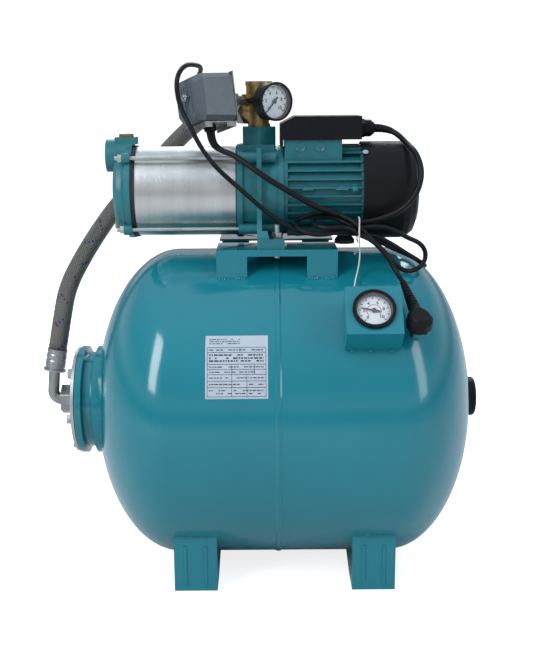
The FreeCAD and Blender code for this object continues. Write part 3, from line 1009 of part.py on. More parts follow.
doc.recompute()
faults = []
for item in doc.Objects:
    if "Invalid" in item.State or "Error" in item.State:
        faults.append("%s is %s" % (item.Name, item.State))
for node in NODES:
    shape = node.Shape
    if shape.isNull() or not shape.isValid() or not shape.Solids:
        faults.append("%s has no valid shape" % node.Label)
    elif shape.Volume <= 0:
        faults.append("%s has a volume of %.1f" % (node.Label, shape.Volume))
if faults:
    raise RuntimeError("; ".join(faults))

os.makedirs("parts", exist_ok=True)
for node in NODES:
    node.Shape.exportStep(os.path.join("parts", node.Label + ".step"))
print("%d sub-parts written" % len(NODES))
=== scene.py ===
import math
import random

import bpy
from mathutils import Matrix, Vector


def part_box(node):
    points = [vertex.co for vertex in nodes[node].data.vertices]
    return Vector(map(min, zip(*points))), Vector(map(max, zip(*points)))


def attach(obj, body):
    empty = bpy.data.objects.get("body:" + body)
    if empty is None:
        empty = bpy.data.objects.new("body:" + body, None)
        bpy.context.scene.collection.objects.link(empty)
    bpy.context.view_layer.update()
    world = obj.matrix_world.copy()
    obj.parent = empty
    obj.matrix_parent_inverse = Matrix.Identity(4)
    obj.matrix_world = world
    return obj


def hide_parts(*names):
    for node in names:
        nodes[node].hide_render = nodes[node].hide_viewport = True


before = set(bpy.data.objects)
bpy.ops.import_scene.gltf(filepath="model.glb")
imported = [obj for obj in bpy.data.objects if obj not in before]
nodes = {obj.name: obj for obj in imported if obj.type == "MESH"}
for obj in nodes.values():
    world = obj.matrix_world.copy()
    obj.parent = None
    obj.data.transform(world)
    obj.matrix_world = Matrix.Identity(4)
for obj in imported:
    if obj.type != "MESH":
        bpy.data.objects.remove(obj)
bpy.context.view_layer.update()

scene = bpy.context.scene
X, Y, Z = Vector((1, 0, 0)), Vector((0, 1, 0)), Vector((0, 0, 1))
TANK_HEIGHT = 0.232     # of the tank's axis over the floor
TANK_RADIUS = 0.225


# ---------------------------------------------------------------- camera
def rows(right, up, back, place):
    """A matrix from three axes and a place."""
    return Matrix(((right[0], up[0], back[0], place[0]), (right[1], up[1], back[1], place[1]),
                   (right[2], up[2], back[2], place[2]), (0, 0, 0, 1)))


lens_data = bpy.data.cameras.new("camera")
lens_data.sensor_width = 36
lens_data.lens = 56.23
lens_data.clip_end = 60
camera = bpy.data.objects.new("camera", lens_data)
scene.collection.objects.link(camera)
camera.matrix_world = rows((0.99997346, -0.00179015, -0.00706158), (0.00728212, 0.2186003, 0.97578731),
                           (-0.00020314, -0.97581284, 0.21860753), (-0.02335, -1.47963, 0.67296))
scene.camera = camera


# ---------------------------------------------------------------- curves and tubes
def spline(name, points):
    """One smooth curve on a route's points, given in millimetres."""
    data = bpy.data.curves.new(name, "CURVE")
    data.dimensions = "3D"
    line = data.splines.new("NURBS")
    line.points.add(len(points) - 1)
    for point, place in zip(line.points, points):
        point.co = (place[0] / 1000, place[1] / 1000, place[2] / 1000, 1)
    line.order_u = 3
    line.use_endpoint_u = True
    line.resolution_u = 8
    holder = bpy.data.objects.new(name, data)
    scene.collection.objects.link(holder)
    bpy.context.view_layer.update()
    mesh = bpy.data.meshes.new_from_object(holder)
    line_points = [v.co.copy() for v in mesh.vertices]
    bpy.data.objects.remove(holder)
    bpy.data.meshes.remove(mesh)
    return line_points


def unit(v):
    return v / v.length


def turns(sides):
    """The angles of evenly spaced points round a circle."""
    return [2 * math.pi * k / sides for k in range(sides)]


def bands(faces, base, rings, sides):
    """Quads between rings of points that follow one another from base."""
    for low in range(base, base + (rings - 1) * sides, sides):
        for k in range(sides):
            m = (k + 1) % sides
            faces.append((low + k, low + m, low + sides + m, low + sides + k))


def mesh_piece(name, vertices, faces, uvs=None, smooth=True):
    """A new object that rides on the fixed set, from points and faces."""
    mesh = bpy.data.meshes.new(name)
    mesh.from_pydata([tuple(v) for v in vertices], [], faces)
    if uvs:
        layer = mesh.uv_layers.new(name="UVMap")
        for poly, corners in zip(mesh.polygons, uvs):
            for loop, uv in zip(poly.loop_indices, corners):
                layer.data[loop].uv = uv
    for poly in mesh.polygons:
        poly.use_smooth = smooth
    mesh.update()
    obj = bpy.data.objects.new(name, mesh)
    scene.collection.objects.link(obj)
    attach(obj, "set")
    return obj


def tube(name, points, radii, sides):
    """A tube along points, with its radius at each, and a map of turns and of length over girth."""
    vertices, faces, uvs, run = [], [], [], [0.0]
    for a, b in zip(points, points[1:]):
        run.append(run[-1] + (b - a).length)
    side = Z.copy()
    for i, centre in enumerate(points):
        along = (points[min(i + 1, len(points) - 1)] - points[max(i - 1, 0)]).normalized()
        side = (side - along * side.dot(along)).normalized()
        other = along.cross(side)
        for turn in turns(sides):
            vertices.append(centre + (side * math.cos(turn) + other * math.sin(turn)) * radii[i])
    girth = 2 * math.pi * max(radii)
    bands(faces, 0, len(points), sides)
    for i in range(len(points) - 1):
        for k in range(sides):
            u0, u1, v0, v1 = k / sides, (k + 1) / sides, run[i] / girth, run[i + 1] / girth
            uvs.append(((u0, v0), (u1, v0), (u1, v1), (u0, v1)))
    for ring in (0, len(points) - 1):
        order = [ring * sides + k for k in range(sides)]
        faces.append(tuple(order if ring else order[::-1]))
        uvs.append(tuple((k / sides, run[ring] / girth) for k in range(sides)))
    return mesh_piece(name, vertices, faces, uvs)


# ---------------------------------------------------------------- cords
HOSE = [(-335.8, 4.35, 308.84), (-327.4, 9.3, 357.3), (-321.3, 30.8, 398.8), (-300.4, 51.9, 439.9),
        (-277.7, 76.5, 477.1), (-253.3, 103.4, 511.8), (-228.8, 137.7, 538.9), (-196.2, 155.3, 572.4),
        (-162.2, 153.6, 608.7), (-127.8, 133.9, 638.1), (-96.5, 100.1, 655.0), (-69.73, 58.87, 655.0)]
MOTOR_LEAD = [(-97.84, -53.91, 627.25), (-96.5, -56.0, 615.3), (-87.7, -60.1, 604.7), (-62.5, -69.6, 595.9),
              (-25.8, -86.6, 569.3), (11.7, -85.0, 546.9), (47.5, -82.5, 525.9), (80.3, -80.0, 515.2),
              (104.6, -80.6, 503.0), (138.0, -82.4, 510.5), (164.2, -86.5, 522.7), (184.3, -86.7, 546.0),
              (191.3, -76.1, 574.5), (184.1, -59.5, 599.2), (176.4, -26.8, 608.7), (163.1, -5.7, 623.8),
              (145.0, 0, 630.2), (132.3, 0, 630.2)]
MAINS_RUN = [(-118.56, -1.81, 654.11), (-131.0, 17.5, 648.8), (-138.5, 37.0, 655.0), (-135.0, 48.5, 675.0),
             (-124.0, 42.0, 697.0), (-114.5, 21.5, 710.0), (-112.5, -4.7, 716.5), (-119.5, -31.8, 718.6),
             (-130.0, -56.0, 717.8), (-138.8, -76.0, 706.0), (-141.5, -81.0, 688.0), (-137.2, -75.8, 661.5),
             (-124.9, -94.0, 640.8), (-110.3, -96.5, 610.4), (-89.8, -94.7, 581.8), (-54.9, -90.1, 550.8),
             (-19.1, -88.4, 518.0), (18.7, -88.5, 494.6), (51.8, -99.5, 490.8), (84.8, -94.9, 497.6)]
HANK = [(104, -93, 498.5), (124, -94, 501), (140, -93, 500), (156, -92, 494), (171, -91, 485),
        (181, -89.5, 481), (190, -87, 475.5), (196.5, -85, 466.5), (197.5, -84, 455), (192.5, -84, 445),
        (183.5, -85.5, 439.2), (172, -89, 438.4), (162, -94, 442.6), (151, -99.5, 453), (140.5, -100.5, 465),
        (129, -98.5, 477.2), (117, -98, 488.3), (107, -101.5, 498), (98, -97, 506.5), (88, -87.5, 512),
        (76, -78, 516.5), (62, -71, 519), (47, -67, 517), (30.5, -68, 512), (19.1, -77.6, 508.5),
        (16.5, -92.3, 503), (24, -105.2, 497.5), (38, -110.3, 493.5), (52, -109.5, 492.5), (66, -107, 494),
        (83, -102.5, 496.5), (95, -97.5, 491.5), (107, -90, 491), (120, -87, 489), (134, -85, 484.5),
        (149, -83, 476), (160.5, -81, 469), (171.5, -80, 461.5), (183, -81, 455), (193, -76, 448),
        (199.5, -67, 442.5), (200.5, -55.5, 441), (195.5, -45.5, 444.5), (186.5, -39, 450),
        (175, -38, 455.2), (165, -43, 460), (153, -55, 466.5), (139, -68, 475), (126, -77, 482.5),
        (113, -80.5, 489.8), (101, -83.5, 498), (90, -79.5, 503.5), (78, -73, 508.5), (67.5, -68, 511.8),
        (56.5, -67.8, 511.5), (47, -73.4, 510), (41.3, -83, 507.5), (41.3, -94, 505), (47, -103.6, 502.8),
        (56.5, -109.2, 501.5), (67.5, -110, 501.5), (79, -109, 502), (92, -105.5, 499.5), (105, -103, 490.5),
        (119, -108, 485), (131, -112, 474.5), (141, -114, 462), (149, -117, 449), (155.5, -125, 438.5),
        (159.8, -139.4, 431.2)]
TIE = [(103, -88, 479), (103, -73, 481), (104, -66, 490), (105, -66, 502), (105, -73, 512),
       (105, -87, 513), (104, -100, 508), (103, -109, 500), (103, -111, 489), (104, -106, 478),
       (105, -102, 466), (104, -103, 452), (101, -109, 440), (97, -121, 430), (94, -134, 419)]

hose_points = spline("hose_line", HOSE)
hose = tube("hose", hose_points, [0.0135] * len(hose_points), 48)
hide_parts("braided_hose")
[c / 1000 for c in HOSE[0]]

motor_points = spline("motor_line", MOTOR_LEAD)
motor_lead = tube("motor_cable", motor_points, [0.004] * len(motor_points), 20)
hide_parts("motor_lead")
[c / 1000 for c in MOTOR_LEAD[0]]

mains_points = spline("mains_line", MAINS_RUN + HANK)
mains_lead = tube("mains_cable", mains_points, [0.00325] * len(mains_points), 18)
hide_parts("mains_lead", "mains_lead_hank", "mains_lead_tail")
tie_points = spline("tie_line", TIE)
wire_tie = tube("wire_tie_line", tie_points, [0.001] * len(tie_points), 10)
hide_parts("wire_tie")
[c / 1000 for c in TIE[-1]]


RELIEF_LENGTH = 0.024
RELIEF_CUTS = 4         # steps between two points of the lead's line
GROOVE_EVERY = 4        # steps from one ring groove to the next
GROOVE_SCALE = 0.93


def relief(name, points, far, radii):
    """A tapered strain relief along the first or last stretch of a lead, with ring grooves."""
    points = points[::-1] if far else points
    run, kept = 0.0, [points[0]]
    for a, b in zip(points, points[1:]):
        run += (b - a).length
        kept.append(b)
        if run > RELIEF_LENGTH:
            break
    dense = []
    for a, b in zip(kept, kept[1:]):
        for k in range(RELIEF_CUTS):
            dense.append(a.lerp(b, k / RELIEF_CUTS))
    dense.append(kept[-1])
    steps = len(dense) - 1
    sizes = []
    for i in range(len(dense)):
        t = i / steps
        groove = GROOVE_SCALE if i % GROOVE_EVERY == GROOVE_EVERY - 1 else 1.0
        sizes.append((radii[0] + (radii[1] - radii[0]) * t) * groove)
    return tube(name, dense, sizes, 24)


motor_relief = relief("motor_cable_relief", motor_points, False, (0.0062, 0.0046))
box_relief = relief("terminal_cable_relief", motor_points, True, (0.0064, 0.0046))
mains_relief = relief("mains_cable_relief", mains_points, False, (0.0056, 0.0039))


PLUG_AT = Vector((0.174, -0.1976, 0.3916))
LEAD_END = Vector([c / 1000 for c in HANK[-1]])
PLUG_WAY = unit(PLUG_AT - LEAD_END)
PLUG_OUT = unit(Vector((0, PLUG_AT.y, PLUG_AT.z - TANK_HEIGHT)))
PIN_WAY = unit(PLUG_OUT.cross(PLUG_WAY).cross(PLUG_WAY))
PLUG_SIDE = unit(PIN_WAY.cross(PLUG_WAY))
# the plug's shield outline, across and back from its middle, and its layers: height and scale of the outline
PLUG_OUTLINE = [(-6.5, 20), (6.5, 20), (12, 13.5), (17.6, 3.5), (16.4, -8.5), (9.5, -16.2), (-2.5, -17.6),
                (-13, -12.5), (-17.4, -3), (-15.4, 9), (-10, 15)]
PLUG_LAYERS = [(-12, 0.62), (-11.4, 0.68), (-6, 0.9), (-3.6, 0.985), (-2, 1.0), (6.6, 1.0), (8.6, 0.96),
               (9.6, 0.88), (9.6, 0.84), (9.1, 0.82), (9.1, 0.3)]
OUTLINE_CUTS = 3        # points on each side of the outline
NECK_RIBS, RIB_PITCH = 9, 5.4
PIN_OFFSET = 9.5


def plug_body():
    """An angled plug: a shield-shaped body with a stepped front, a ribbed neck, and two pins to the tank."""
    vertices, faces = [], []
    count = len(PLUG_OUTLINE) * OUTLINE_CUTS
    for depth, scale in PLUG_LAYERS:
        for i, (x, y) in enumerate(PLUG_OUTLINE):
            bx, by = PLUG_OUTLINE[(i + 1) % len(PLUG_OUTLINE)]
            for k in range(OUTLINE_CUTS):
                t = (k + 0.5) / OUTLINE_CUTS
                vertices.append(PLUG_AT + PIN_WAY * (depth / 1000)
                                + PLUG_SIDE * ((x + (bx - x) * t) * scale / 1000)
                                - PLUG_WAY * ((y + (by - y) * t) * scale / 1000))
    bands(faces, 0, len(PLUG_LAYERS), count)
    faces.append(tuple(range(count))[::-1])
    faces.append(tuple((len(PLUG_LAYERS) - 1) * count + k for k in range(count)))

    def turned(start, way, profile, sides=24):
        """A closed turned shape: its profile is given as length along the way and radius."""
        base = len(vertices)
        ax = unit(way.orthogonal())
        ay = way.cross(ax)
        for along, radius in profile:
            for a in turns(sides):
                vertices.append(start + way * (along / 1000)
                                + (ax * math.cos(a) + ay * math.sin(a)) * (radius / 1000))
        bands(faces, base, len(profile), sides)
        faces.append(tuple(base + k for k in range(sides))[::-1])
        faces.append(tuple(base + (len(profile) - 1) * sides + k for k in range(sides)))

    profile = [(-2, 3.9)]
    for i in range(NECK_RIBS):
        at, radius = RIB_PITCH * i, 4.4 + 0.42 * i
        profile += [(at, radius - 0.9), (at + 0.5, radius),
                    (at + 3.2, radius + 0.25), (at + 3.8, radius - 0.8)]
    profile += [(49, 8.0), (56, 8.6), (60, 8.8)]
    turned(LEAD_END, PLUG_WAY, profile)
    for offset in (-PIN_OFFSET, PIN_OFFSET):
        foot = PLUG_AT + PLUG_SIDE * (offset / 1000) + PIN_WAY * 0.009
        turned(foot, PIN_WAY, [(0, 2.4), (17.5, 2.4), (19, 1.6)], 16)
    return mesh_piece("plug_moulded", vertices, faces, smooth=False)


plug = plug_body()
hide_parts("plug")
[c / 1000 for c in MAINS_RUN[0]]


# ---------------------------------------------------------------- materials
class Paint:
    """A node material with a principled shader, and short calls for its nodes."""

    def __init__(self, name, **fixed):
        self.material = bpy.data.materials.new(name)
        self.material.use_nodes = True
        self.tree = self.material.node_tree
        self.tree.nodes.clear()
        self.out = self.tree.nodes.new("ShaderNodeOutputMaterial")
        self.shader = self.node("ShaderNodeBsdfPrincipled")
        self.tree.links.new(self.shader.outputs[0], self.out.inputs[0])
        self.place = self.node("ShaderNodeTexCoord").outputs["Object"]
        for key, value in fixed.items():
            self.shader.inputs[key.replace("_", " ")].default_value = value

    def node(self, kind, **settings):
        made = self.tree.nodes.new(kind)
        for key, value in settings.items():
            setattr(made, key, value)
        return made

    def put(self, socket, value):
        if isinstance(value, bpy.types.NodeSocket):
            self.tree.links.new(value, socket)
        elif value is not None:
            socket.default_value = value

    def math(self, operation, a, b=None):
        made = self.node("ShaderNodeMath", operation=operation)
        for socket, value in zip(made.inputs, (a, b)):
            self.put(socket, value)
        return made.outputs[0]

    def stretched(self, scale, vector=None):
        made = self.node("ShaderNodeMapping")
        self.put(made.inputs["Vector"], vector or self.place)
        made.inputs["Scale"].default_value = scale
        return made.outputs[0]

    def noise(self, scale, detail=3.0, vector=None, rough=0.55):
        made = self.node("ShaderNodeTexNoise")
        self.put(made.inputs["Vector"], vector or self.place)
        made.inputs["Scale"].default_value = scale
        made.inputs["Detail"].default_value = detail
        made.inputs["Roughness"].default_value = rough
        return made.outputs[0]

    def span(self, value, low, high, to_low=0.0, to_high=1.0):
        made = self.node("ShaderNodeMapRange")
        for socket, given in zip(made.inputs, (value, low, high, to_low, to_high)):
            self.put(socket, given)
        return made.outputs[0]

    def ramp(self, value, stops):
        made = self.node("ShaderNodeValToRGB")
        ramp = made.color_ramp
        while len(ramp.elements) < len(stops):
            ramp.elements.new(0.5)
        for element, (spot, colour) in zip(ramp.elements, stops):
            element.position = spot
            element.color = tuple(colour) + (1,)
        self.put(made.inputs[0], value)
        return made.outputs[0]

    def mix(self, value, a, b):
        made = self.node("ShaderNodeMix", data_type="RGBA")
        self.put(made.inputs[0], value)
        for socket, given in ((made.inputs[6], a), (made.inputs[7], b)):
            self.put(socket, given if isinstance(given, bpy.types.NodeSocket) else tuple(given) + (1,))
        return made.outputs[2]

    def colour(self, value):
        self.put(self.shader.inputs["Base Color"], value)

    def rough(self, value):
        self.put(self.shader.inputs["Roughness"], value)

    def bump(self, height, strength, distance, below=None):
        made = self.node("ShaderNodeBump")
        made.inputs["Strength"].default_value = strength
        made.inputs["Distance"].default_value = distance
        self.put(made.inputs["Height"], height)
        if below is not None:
            self.put(made.inputs["Normal"], below)
        self.put(self.shader.inputs["Normal"], made.outputs[0])
        return made.outputs[0]


def shade(colour, factor):
    return tuple(min(1.0, c * factor) for c in colour)


def plain(name, colour, spread, roughness, blotch, grain, strength, distance, **fixed):
    """Colour that drifts slowly, roughness that follows wear, and a fine grain in relief."""
    p = Paint(name, **fixed)
    drift = p.noise(blotch, 4)
    p.colour(p.ramp(drift, [(0.3, shade(colour, 1 - spread)), (0.7, shade(colour, 1 + spread))]))
    p.rough(p.span(p.noise(blotch * 5.3, 5), 0.3, 0.7, *roughness))
    p.bump(p.noise(grain, 2), strength, distance)
    return p


TEAL = (0.006, 0.2, 0.245)

tank_paint = Paint("tank_paint", Coat_Weight=0.25, Coat_Roughness=0.04)
tank_paint.colour(tank_paint.ramp(tank_paint.noise(5.5, 5), [(0.3, shade(TEAL, 0.94)),
                                                             (0.7, shade(TEAL, 1.05))]))
tank_paint.rough(tank_paint.span(tank_paint.noise(26, 6), 0.3, 0.7, 0.1, 0.2))
peel = tank_paint.bump(tank_paint.noise(420, 2), 0.06, 0.0004)
tank_paint.bump(tank_paint.noise(6, 2), 0.06, 0.0012, peel)

machine_paint = Paint("machine_paint", Coat_Weight=0.15, Coat_Roughness=0.15)
machine_paint.colour(machine_paint.ramp(machine_paint.noise(40, 5), [(0.3, (0.010, 0.135, 0.158)),
                                                                     (0.7, (0.016, 0.185, 0.205))]))
machine_paint.rough(machine_paint.span(machine_paint.noise(90, 4), 0.3, 0.7, 0.3, 0.52))
cast = machine_paint.bump(machine_paint.noise(520, 3), 0.4, 0.0006)
machine_paint.bump(machine_paint.noise(95, 3), 0.3, 0.0015, cast)

frame_paint = plain("aluminium_paint", (0.010, 0.135, 0.155), 0.12, (0.3, 0.48), 30, 600, 0.3, 0.0004,
                    Coat_Weight=0.12)
black = plain("black_plastic", (0.006, 0.0066, 0.0075), 0.25, (0.38, 0.54), 25, 900, 0.3, 0.0003,
              Specular_IOR_Level=0.18)
grey = plain("grey_plastic", (0.088, 0.106, 0.122), 0.08, (0.3, 0.46), 30, 700, 0.4, 0.0004)
rubber = plain("rubber", (0.013, 0.013, 0.014), 0.3, (0.5, 0.72), 40, 800, 0.4, 0.0004)
brass = plain("brass", (0.42, 0.29, 0.11), 0.2, (0.26, 0.5), 60, 500, 0.35, 0.0005, Metallic=1.0)
plated = plain("plated_steel", (0.53, 0.55, 0.52), 0.14, (0.28, 0.48), 55, 420, 0.25, 0.0004, Metallic=1.0)
chrome = plain("bright_chrome", (0.5, 0.52, 0.54), 0.14, (0.16, 0.32), 45, 300, 0.15, 0.0004, Metallic=1.0)
dull = plain("dull_zinc", (0.2, 0.2, 0.19), 0.2, (0.38, 0.55), 55, 420, 0.25, 0.0004, Metallic=0.9)
nickel = plain("nickel_brass", (0.34, 0.34, 0.33), 0.2, (0.26, 0.42), 55, 420, 0.3, 0.0004, Metallic=1.0)
steel = plain("steel", (0.4, 0.4, 0.41), 0.15, (0.25, 0.42), 50, 700, 0.3, 0.0003, Metallic=1.0)
white_face = plain("white_face", (0.78, 0.79, 0.78), 0.03, (0.35, 0.5), 40, 500, 0.1, 0.0002)
copper = plain("copper_iron", (0.3, 0.12, 0.05), 0.4, (0.3, 0.5), 70, 400, 0.5, 0.0006, Metallic=0.9)
sheath = plain("lead_sheath", (0.006, 0.0063, 0.007), 0.25, (0.34, 0.52), 35, 700, 0.25, 0.0003,
               Specular_IOR_Level=0.22)
wire = plain("white_wire", (0.66, 0.66, 0.62), 0.1, (0.4, 0.6), 90, 900, 0.3, 0.0002)
lens = plain("clear_lens", (0.9, 0.93, 0.95), 0.02, (0.03, 0.08), 30, 60, 0.05, 0.0003, Alpha=0.07)
lens.material.surface_render_method = "BLENDED"

# brushed sleeve: fine lines run round it, so they vary only along the pump
sleeve = Paint("stainless", Metallic=1.0)
lines = sleeve.noise(2600, 4, sleeve.stretched((1, 0.012, 0.012)), 0.7)
# painted reflection: broad lighter and darker bands along the pump stand in for the reflections the brushed
# sleeve shows
painted_reflection_bands = sleeve.noise(60, 3, sleeve.stretched((1, 0.05, 0.05)))
sleeve.colour(sleeve.mix(painted_reflection_bands, (0.55, 0.545, 0.51), (0.74, 0.735, 0.69)))
sleeve.rough(sleeve.span(lines, 0.3, 0.7, 0.24, 0.46))
sleeve.bump(lines, 0.35, 0.0003)

# braid: flat wire bundles cross over and under, with dashes of a red tracer one way and a blue one the other
braid = Paint("braid", Metallic=0.75)
spot = braid.node("ShaderNodeSeparateXYZ")
braid.put(spot.inputs[0], braid.node("ShaderNodeTexCoord").outputs["UV"])
BUNDLES = 20            # in each direction round the hose
TRACER_PITCH = 0.38     # in girths of the hose, from one dash of a tracer to the next
u = braid.math("MULTIPLY", spot.outputs[0], BUNDLES)
v = braid.math("MULTIPLY", spot.outputs[1], BUNDLES)
left = braid.math("ADD", u, v)
right = braid.math("SUBTRACT", u, v)
wave_l = braid.math("SINE", braid.math("MULTIPLY", left, math.pi))
wave_r = braid.math("SINE", braid.math("MULTIPLY", right, math.pi))
over = braid.math("GREATER_THAN", braid.math("MULTIPLY", wave_l, wave_r), 0.0)
under = braid.math("SUBTRACT", 1.0, over)
pillow = braid.math("POWER", braid.math("ABSOLUTE", braid.math("MULTIPLY", wave_l, wave_r)), 0.4)
wires_l = braid.math("ABSOLUTE", braid.math("SINE", braid.math("MULTIPLY", left, 5 * math.pi)))
wires_r = braid.math("ABSOLUTE", braid.math("SINE", braid.math("MULTIPLY", right, 5 * math.pi)))
strands = braid.math("ADD", braid.math("MULTIPLY", wires_l, over), braid.math("MULTIPLY", wires_r, under))
height = braid.math("ADD", pillow, braid.math("MULTIPLY", strands, 0.35))

dashes = braid.math("SINE", braid.math("MULTIPLY", spot.outputs[1], 2 * math.pi / TRACER_PITCH))
patches = braid.math("GREATER_THAN", dashes, 0.25)


def tracer(value, side, offset):
    """Two bundles in the round are coloured, in dashes, where they lie on top."""
    lane = braid.math("FLOORED_MODULO", braid.math("FLOOR", braid.math("ADD", value, offset)), BUNDLES / 2)
    return braid.math("MULTIPLY", braid.math("MULTIPLY", braid.math("LESS_THAN", lane, 0.5), side), patches)


# painted shade: the braid's steel is darker down the sides of each bundle and in the crevices between
# bundles, and lighter on their crowns
steel_with_painted_crevice_shade = braid.mix(pillow, (0.03, 0.028, 0.024), (0.27, 0.26, 0.225))
tinted = braid.mix(braid.math("MULTIPLY", braid.noise(30, 4), 0.5), steel_with_painted_crevice_shade, (0.17, 0.16, 0.14))
with_red = braid.mix(tracer(left, over, 0), tinted, (0.22, 0.04, 0.035))
braid.colour(braid.mix(tracer(right, under, 7), with_red, (0.03, 0.06, 0.24)))
braid.rough(braid.span(strands, 0.0, 1.0, 0.5, 0.3))
braid.bump(height, 0.8, 0.0007)

PAINTS = {
    tank_paint: ["tank_shell_left", "tank_shell_right", "tank_neck", "tank_feet", "pump_bracket_front",
                 "pump_bracket_rear", "gauge_box"],
    machine_paint: ["suction_casing", "discharge_bracket"],
    frame_paint: ["motor_frame", "end_shield"],
    black: ["air_valve_cap", "gauge_cases", "line_gauge_needle", "tank_gauge_needle", "switch_contacts",
            "cable_glands", "fan", "fan_cover", "terminal_box", "plug"],
    grey: ["switch_cover", "run_capacitor"],
    rubber: ["tank_bladder", "casing_gaskets", "motor_foot"],
    brass: ["air_valve", "brass_fitting", "casing_plugs"],
    plated: ["counter_flange", "flange_bolts", "switch_lever", "tie_rods", "foot_bolts"],
    dull: ["switch_base", "switch_diaphragm"],
    nickel: ["hose_nuts", "hose_elbow"],
    chrome: ["switch_cap_nut", "cover_screws"],
    steel: ["switch_spring", "shaft", "seal_ring", "seal_seat", "rotor", "ball_bearings", "hose_ferrules"],
    white_face: ["gauge_dials", "diffusers", "impellers"],
    copper: ["stator"],
    lens: ["gauge_lenses"],
    sleeve: ["pump_sleeve"],
}


def paint(obj, p):
    obj.data.materials.clear()
    obj.data.materials.append(p.material)


for p, names in PAINTS.items():
    for name in names:
        paint(nodes[name], p)
for obj, p in ((hose, braid), (motor_lead, sheath), (mains_lead, sheath), (wire_tie, wire),
               (motor_relief, black), (box_relief, black), (mains_relief, black), (plug, black)):
    paint(obj, p)
for name in ("braided_hose", "motor_lead", "mains_lead", "mains_lead_hank", "mains_lead_tail", "wire_tie"):
    paint(nodes[name], sheath)


# ---------------------------------------------------------------- gauge faces
def dial_frame(start, forward, right, up, origin):
    """Turns a dial's own x (right), y (up) and height over its face into a place in the part's frame."""
    def to_row(x, y, z):
        return origin + forward * (start + z) + right * x + up * y
    return to_row


def ring_arc(to_row, vertices, faces, inner, outer, first, last, z, steps=60):
    """A flat arc on a dial, between two radii and two angles in degrees."""
    base = len(vertices)
    for i in range(steps + 1):
        a = math.radians(first + (last - first) * i / steps)
        vertices.append(to_row(inner * math.cos(a), inner * math.sin(a), z))
        vertices.append(to_row(outer * math.cos(a), outer * math.sin(a), z))
    for i in range(steps):
        faces.append((base + 2 * i, base + 2 * i + 1, base + 2 * i + 3, base + 2 * i + 2))


def tick(to_row, vertices, faces, angle, inner, outer, width, z):
    """A scale mark on a dial, from an inner to an outer radius."""
    a = math.radians(angle)
    c, s = math.cos(a), math.sin(a)
    base = len(vertices)
    for r, w in ((inner, -width), (outer, -width), (outer, width), (inner, width)):
        vertices.append(to_row(r * c - w / 2 * s, r * s + w / 2 * c, z))
    faces.append((base, base + 1, base + 2, base + 3))


def numeral(text, size):
    """The outline mesh of a number, centred, as points and faces."""
    data = bpy.data.curves.new("numeral", "FONT")
    data.body = text
    data.size = size
    data.offset = size * 0.03
    data.align_x = "CENTER"
    data.align_y = "CENTER"
    holder = bpy.data.objects.new("numeral", data)
    scene.collection.objects.link(holder)
    bpy.context.view_layer.update()
    mesh = bpy.data.meshes.new_from_object(holder)
    points = [v.co.copy() for v in mesh.vertices]
    faces = [tuple(poly.vertices) for poly in mesh.polygons]
    bpy.data.objects.remove(holder)
    bpy.data.meshes.remove(mesh)
    return points, faces


DIAL_ZERO, DIAL_SWEEP = 229, 270        # degrees: where the scale starts, and how far it runs clockwise
DIAL_END = DIAL_ZERO - DIAL_SWEEP
DIVISIONS, LONG_EVERY = 50, 5
PRINT_LIFT = 0.00012
NUMERAL_RADIUS, NUMERAL_SIZE = 0.0128, 0.0064
RIM_RADIUS = 0.0236

ink = plain("dial_ink", (0.012, 0.012, 0.014), 0.2, (0.4, 0.55), 200, 900, 0.1, 0.0001)
red_ink = plain("dial_red", (0.5, 0.03, 0.02), 0.1, (0.4, 0.55), 200, 900, 0.1, 0.0001)


def gauge_face(name, to_row, numbers, rim, red):
    """Scale, numbers and dark rim on a dial. The red arc is inner and outer radius, first and last angle."""
    z = PRINT_LIFT
    vertices, faces = [], []
    for i in range(DIVISIONS + 1):
        angle = DIAL_ZERO - DIAL_SWEEP * i / DIVISIONS
        inner, width = (0.0166, 0.0012) if i % LONG_EVERY == 0 else (0.0184, 0.0004)
        tick(to_row, vertices, faces, angle, inner, 0.0205, width, z)
    ring_arc(to_row, vertices, faces, 0.0203, 0.0207, DIAL_ZERO, DIAL_END, z)
    ring_arc(to_row, vertices, faces, rim, RIM_RADIUS, 0, 360, z, 72)
    for i, text in enumerate(numbers):
        a = math.radians(DIAL_ZERO - DIAL_SWEEP * i / (len(numbers) - 1))
        x, y = NUMERAL_RADIUS * math.cos(a), NUMERAL_RADIUS * math.sin(a)
        points, polygons = numeral(text, NUMERAL_SIZE)
        base = len(vertices)
        vertices += [to_row(p.x + x, p.y + y, z) for p in points]
        faces += [tuple(base + k for k in polygon) for polygon in polygons]
    paint(mesh_piece(name + "_print", vertices, faces, smooth=False), ink)
    vertices, faces = [], []
    ring_arc(to_row, vertices, faces, *red, z * 1.4)
    paint(mesh_piece(name + "_red", vertices, faces, smooth=False), red_ink)


LINE_OUT = Vector((0.5446, -0.8387, 0))
TANK_GAUGE_TILT = math.radians(41)
TANK_OUT = Vector((0, -math.cos(TANK_GAUGE_TILT), math.sin(TANK_GAUGE_TILT)))
line_dial = dial_frame(0.0383, LINE_OUT, Vector((0.8387, 0.5446, 0)), Z, Vector((-0.0315, 0, 0.668)))
tank_up = Vector((0, TANK_OUT.z, -TANK_OUT.y))
tank_dial = dial_frame(0.2645, TANK_OUT, X, tank_up, Vector((0.115, 0, TANK_HEIGHT)))
NUMBERS = ["0", "2", "4", "6", "8", "10"]
gauge_face("line_gauge", line_dial, NUMBERS, 0.0222, (0.0208, 0.0216, 20, DIAL_END))
gauge_face("tank_gauge", tank_dial, NUMBERS, 0.0214, (0.0088, 0.0098, DIAL_ZERO, DIAL_END))


# ---------------------------------------------------------------- knockouts on the terminal box's base
def front_of(name, x, z):
    """The nearest place to the front on a node, looking along +Y."""
    return nodes[name].ray_cast(Vector((x, -1, z)), Y)[1].y


KNOCKOUTS_X = (0.026, 0.053)
KNOCKOUT_Z = 0.6065
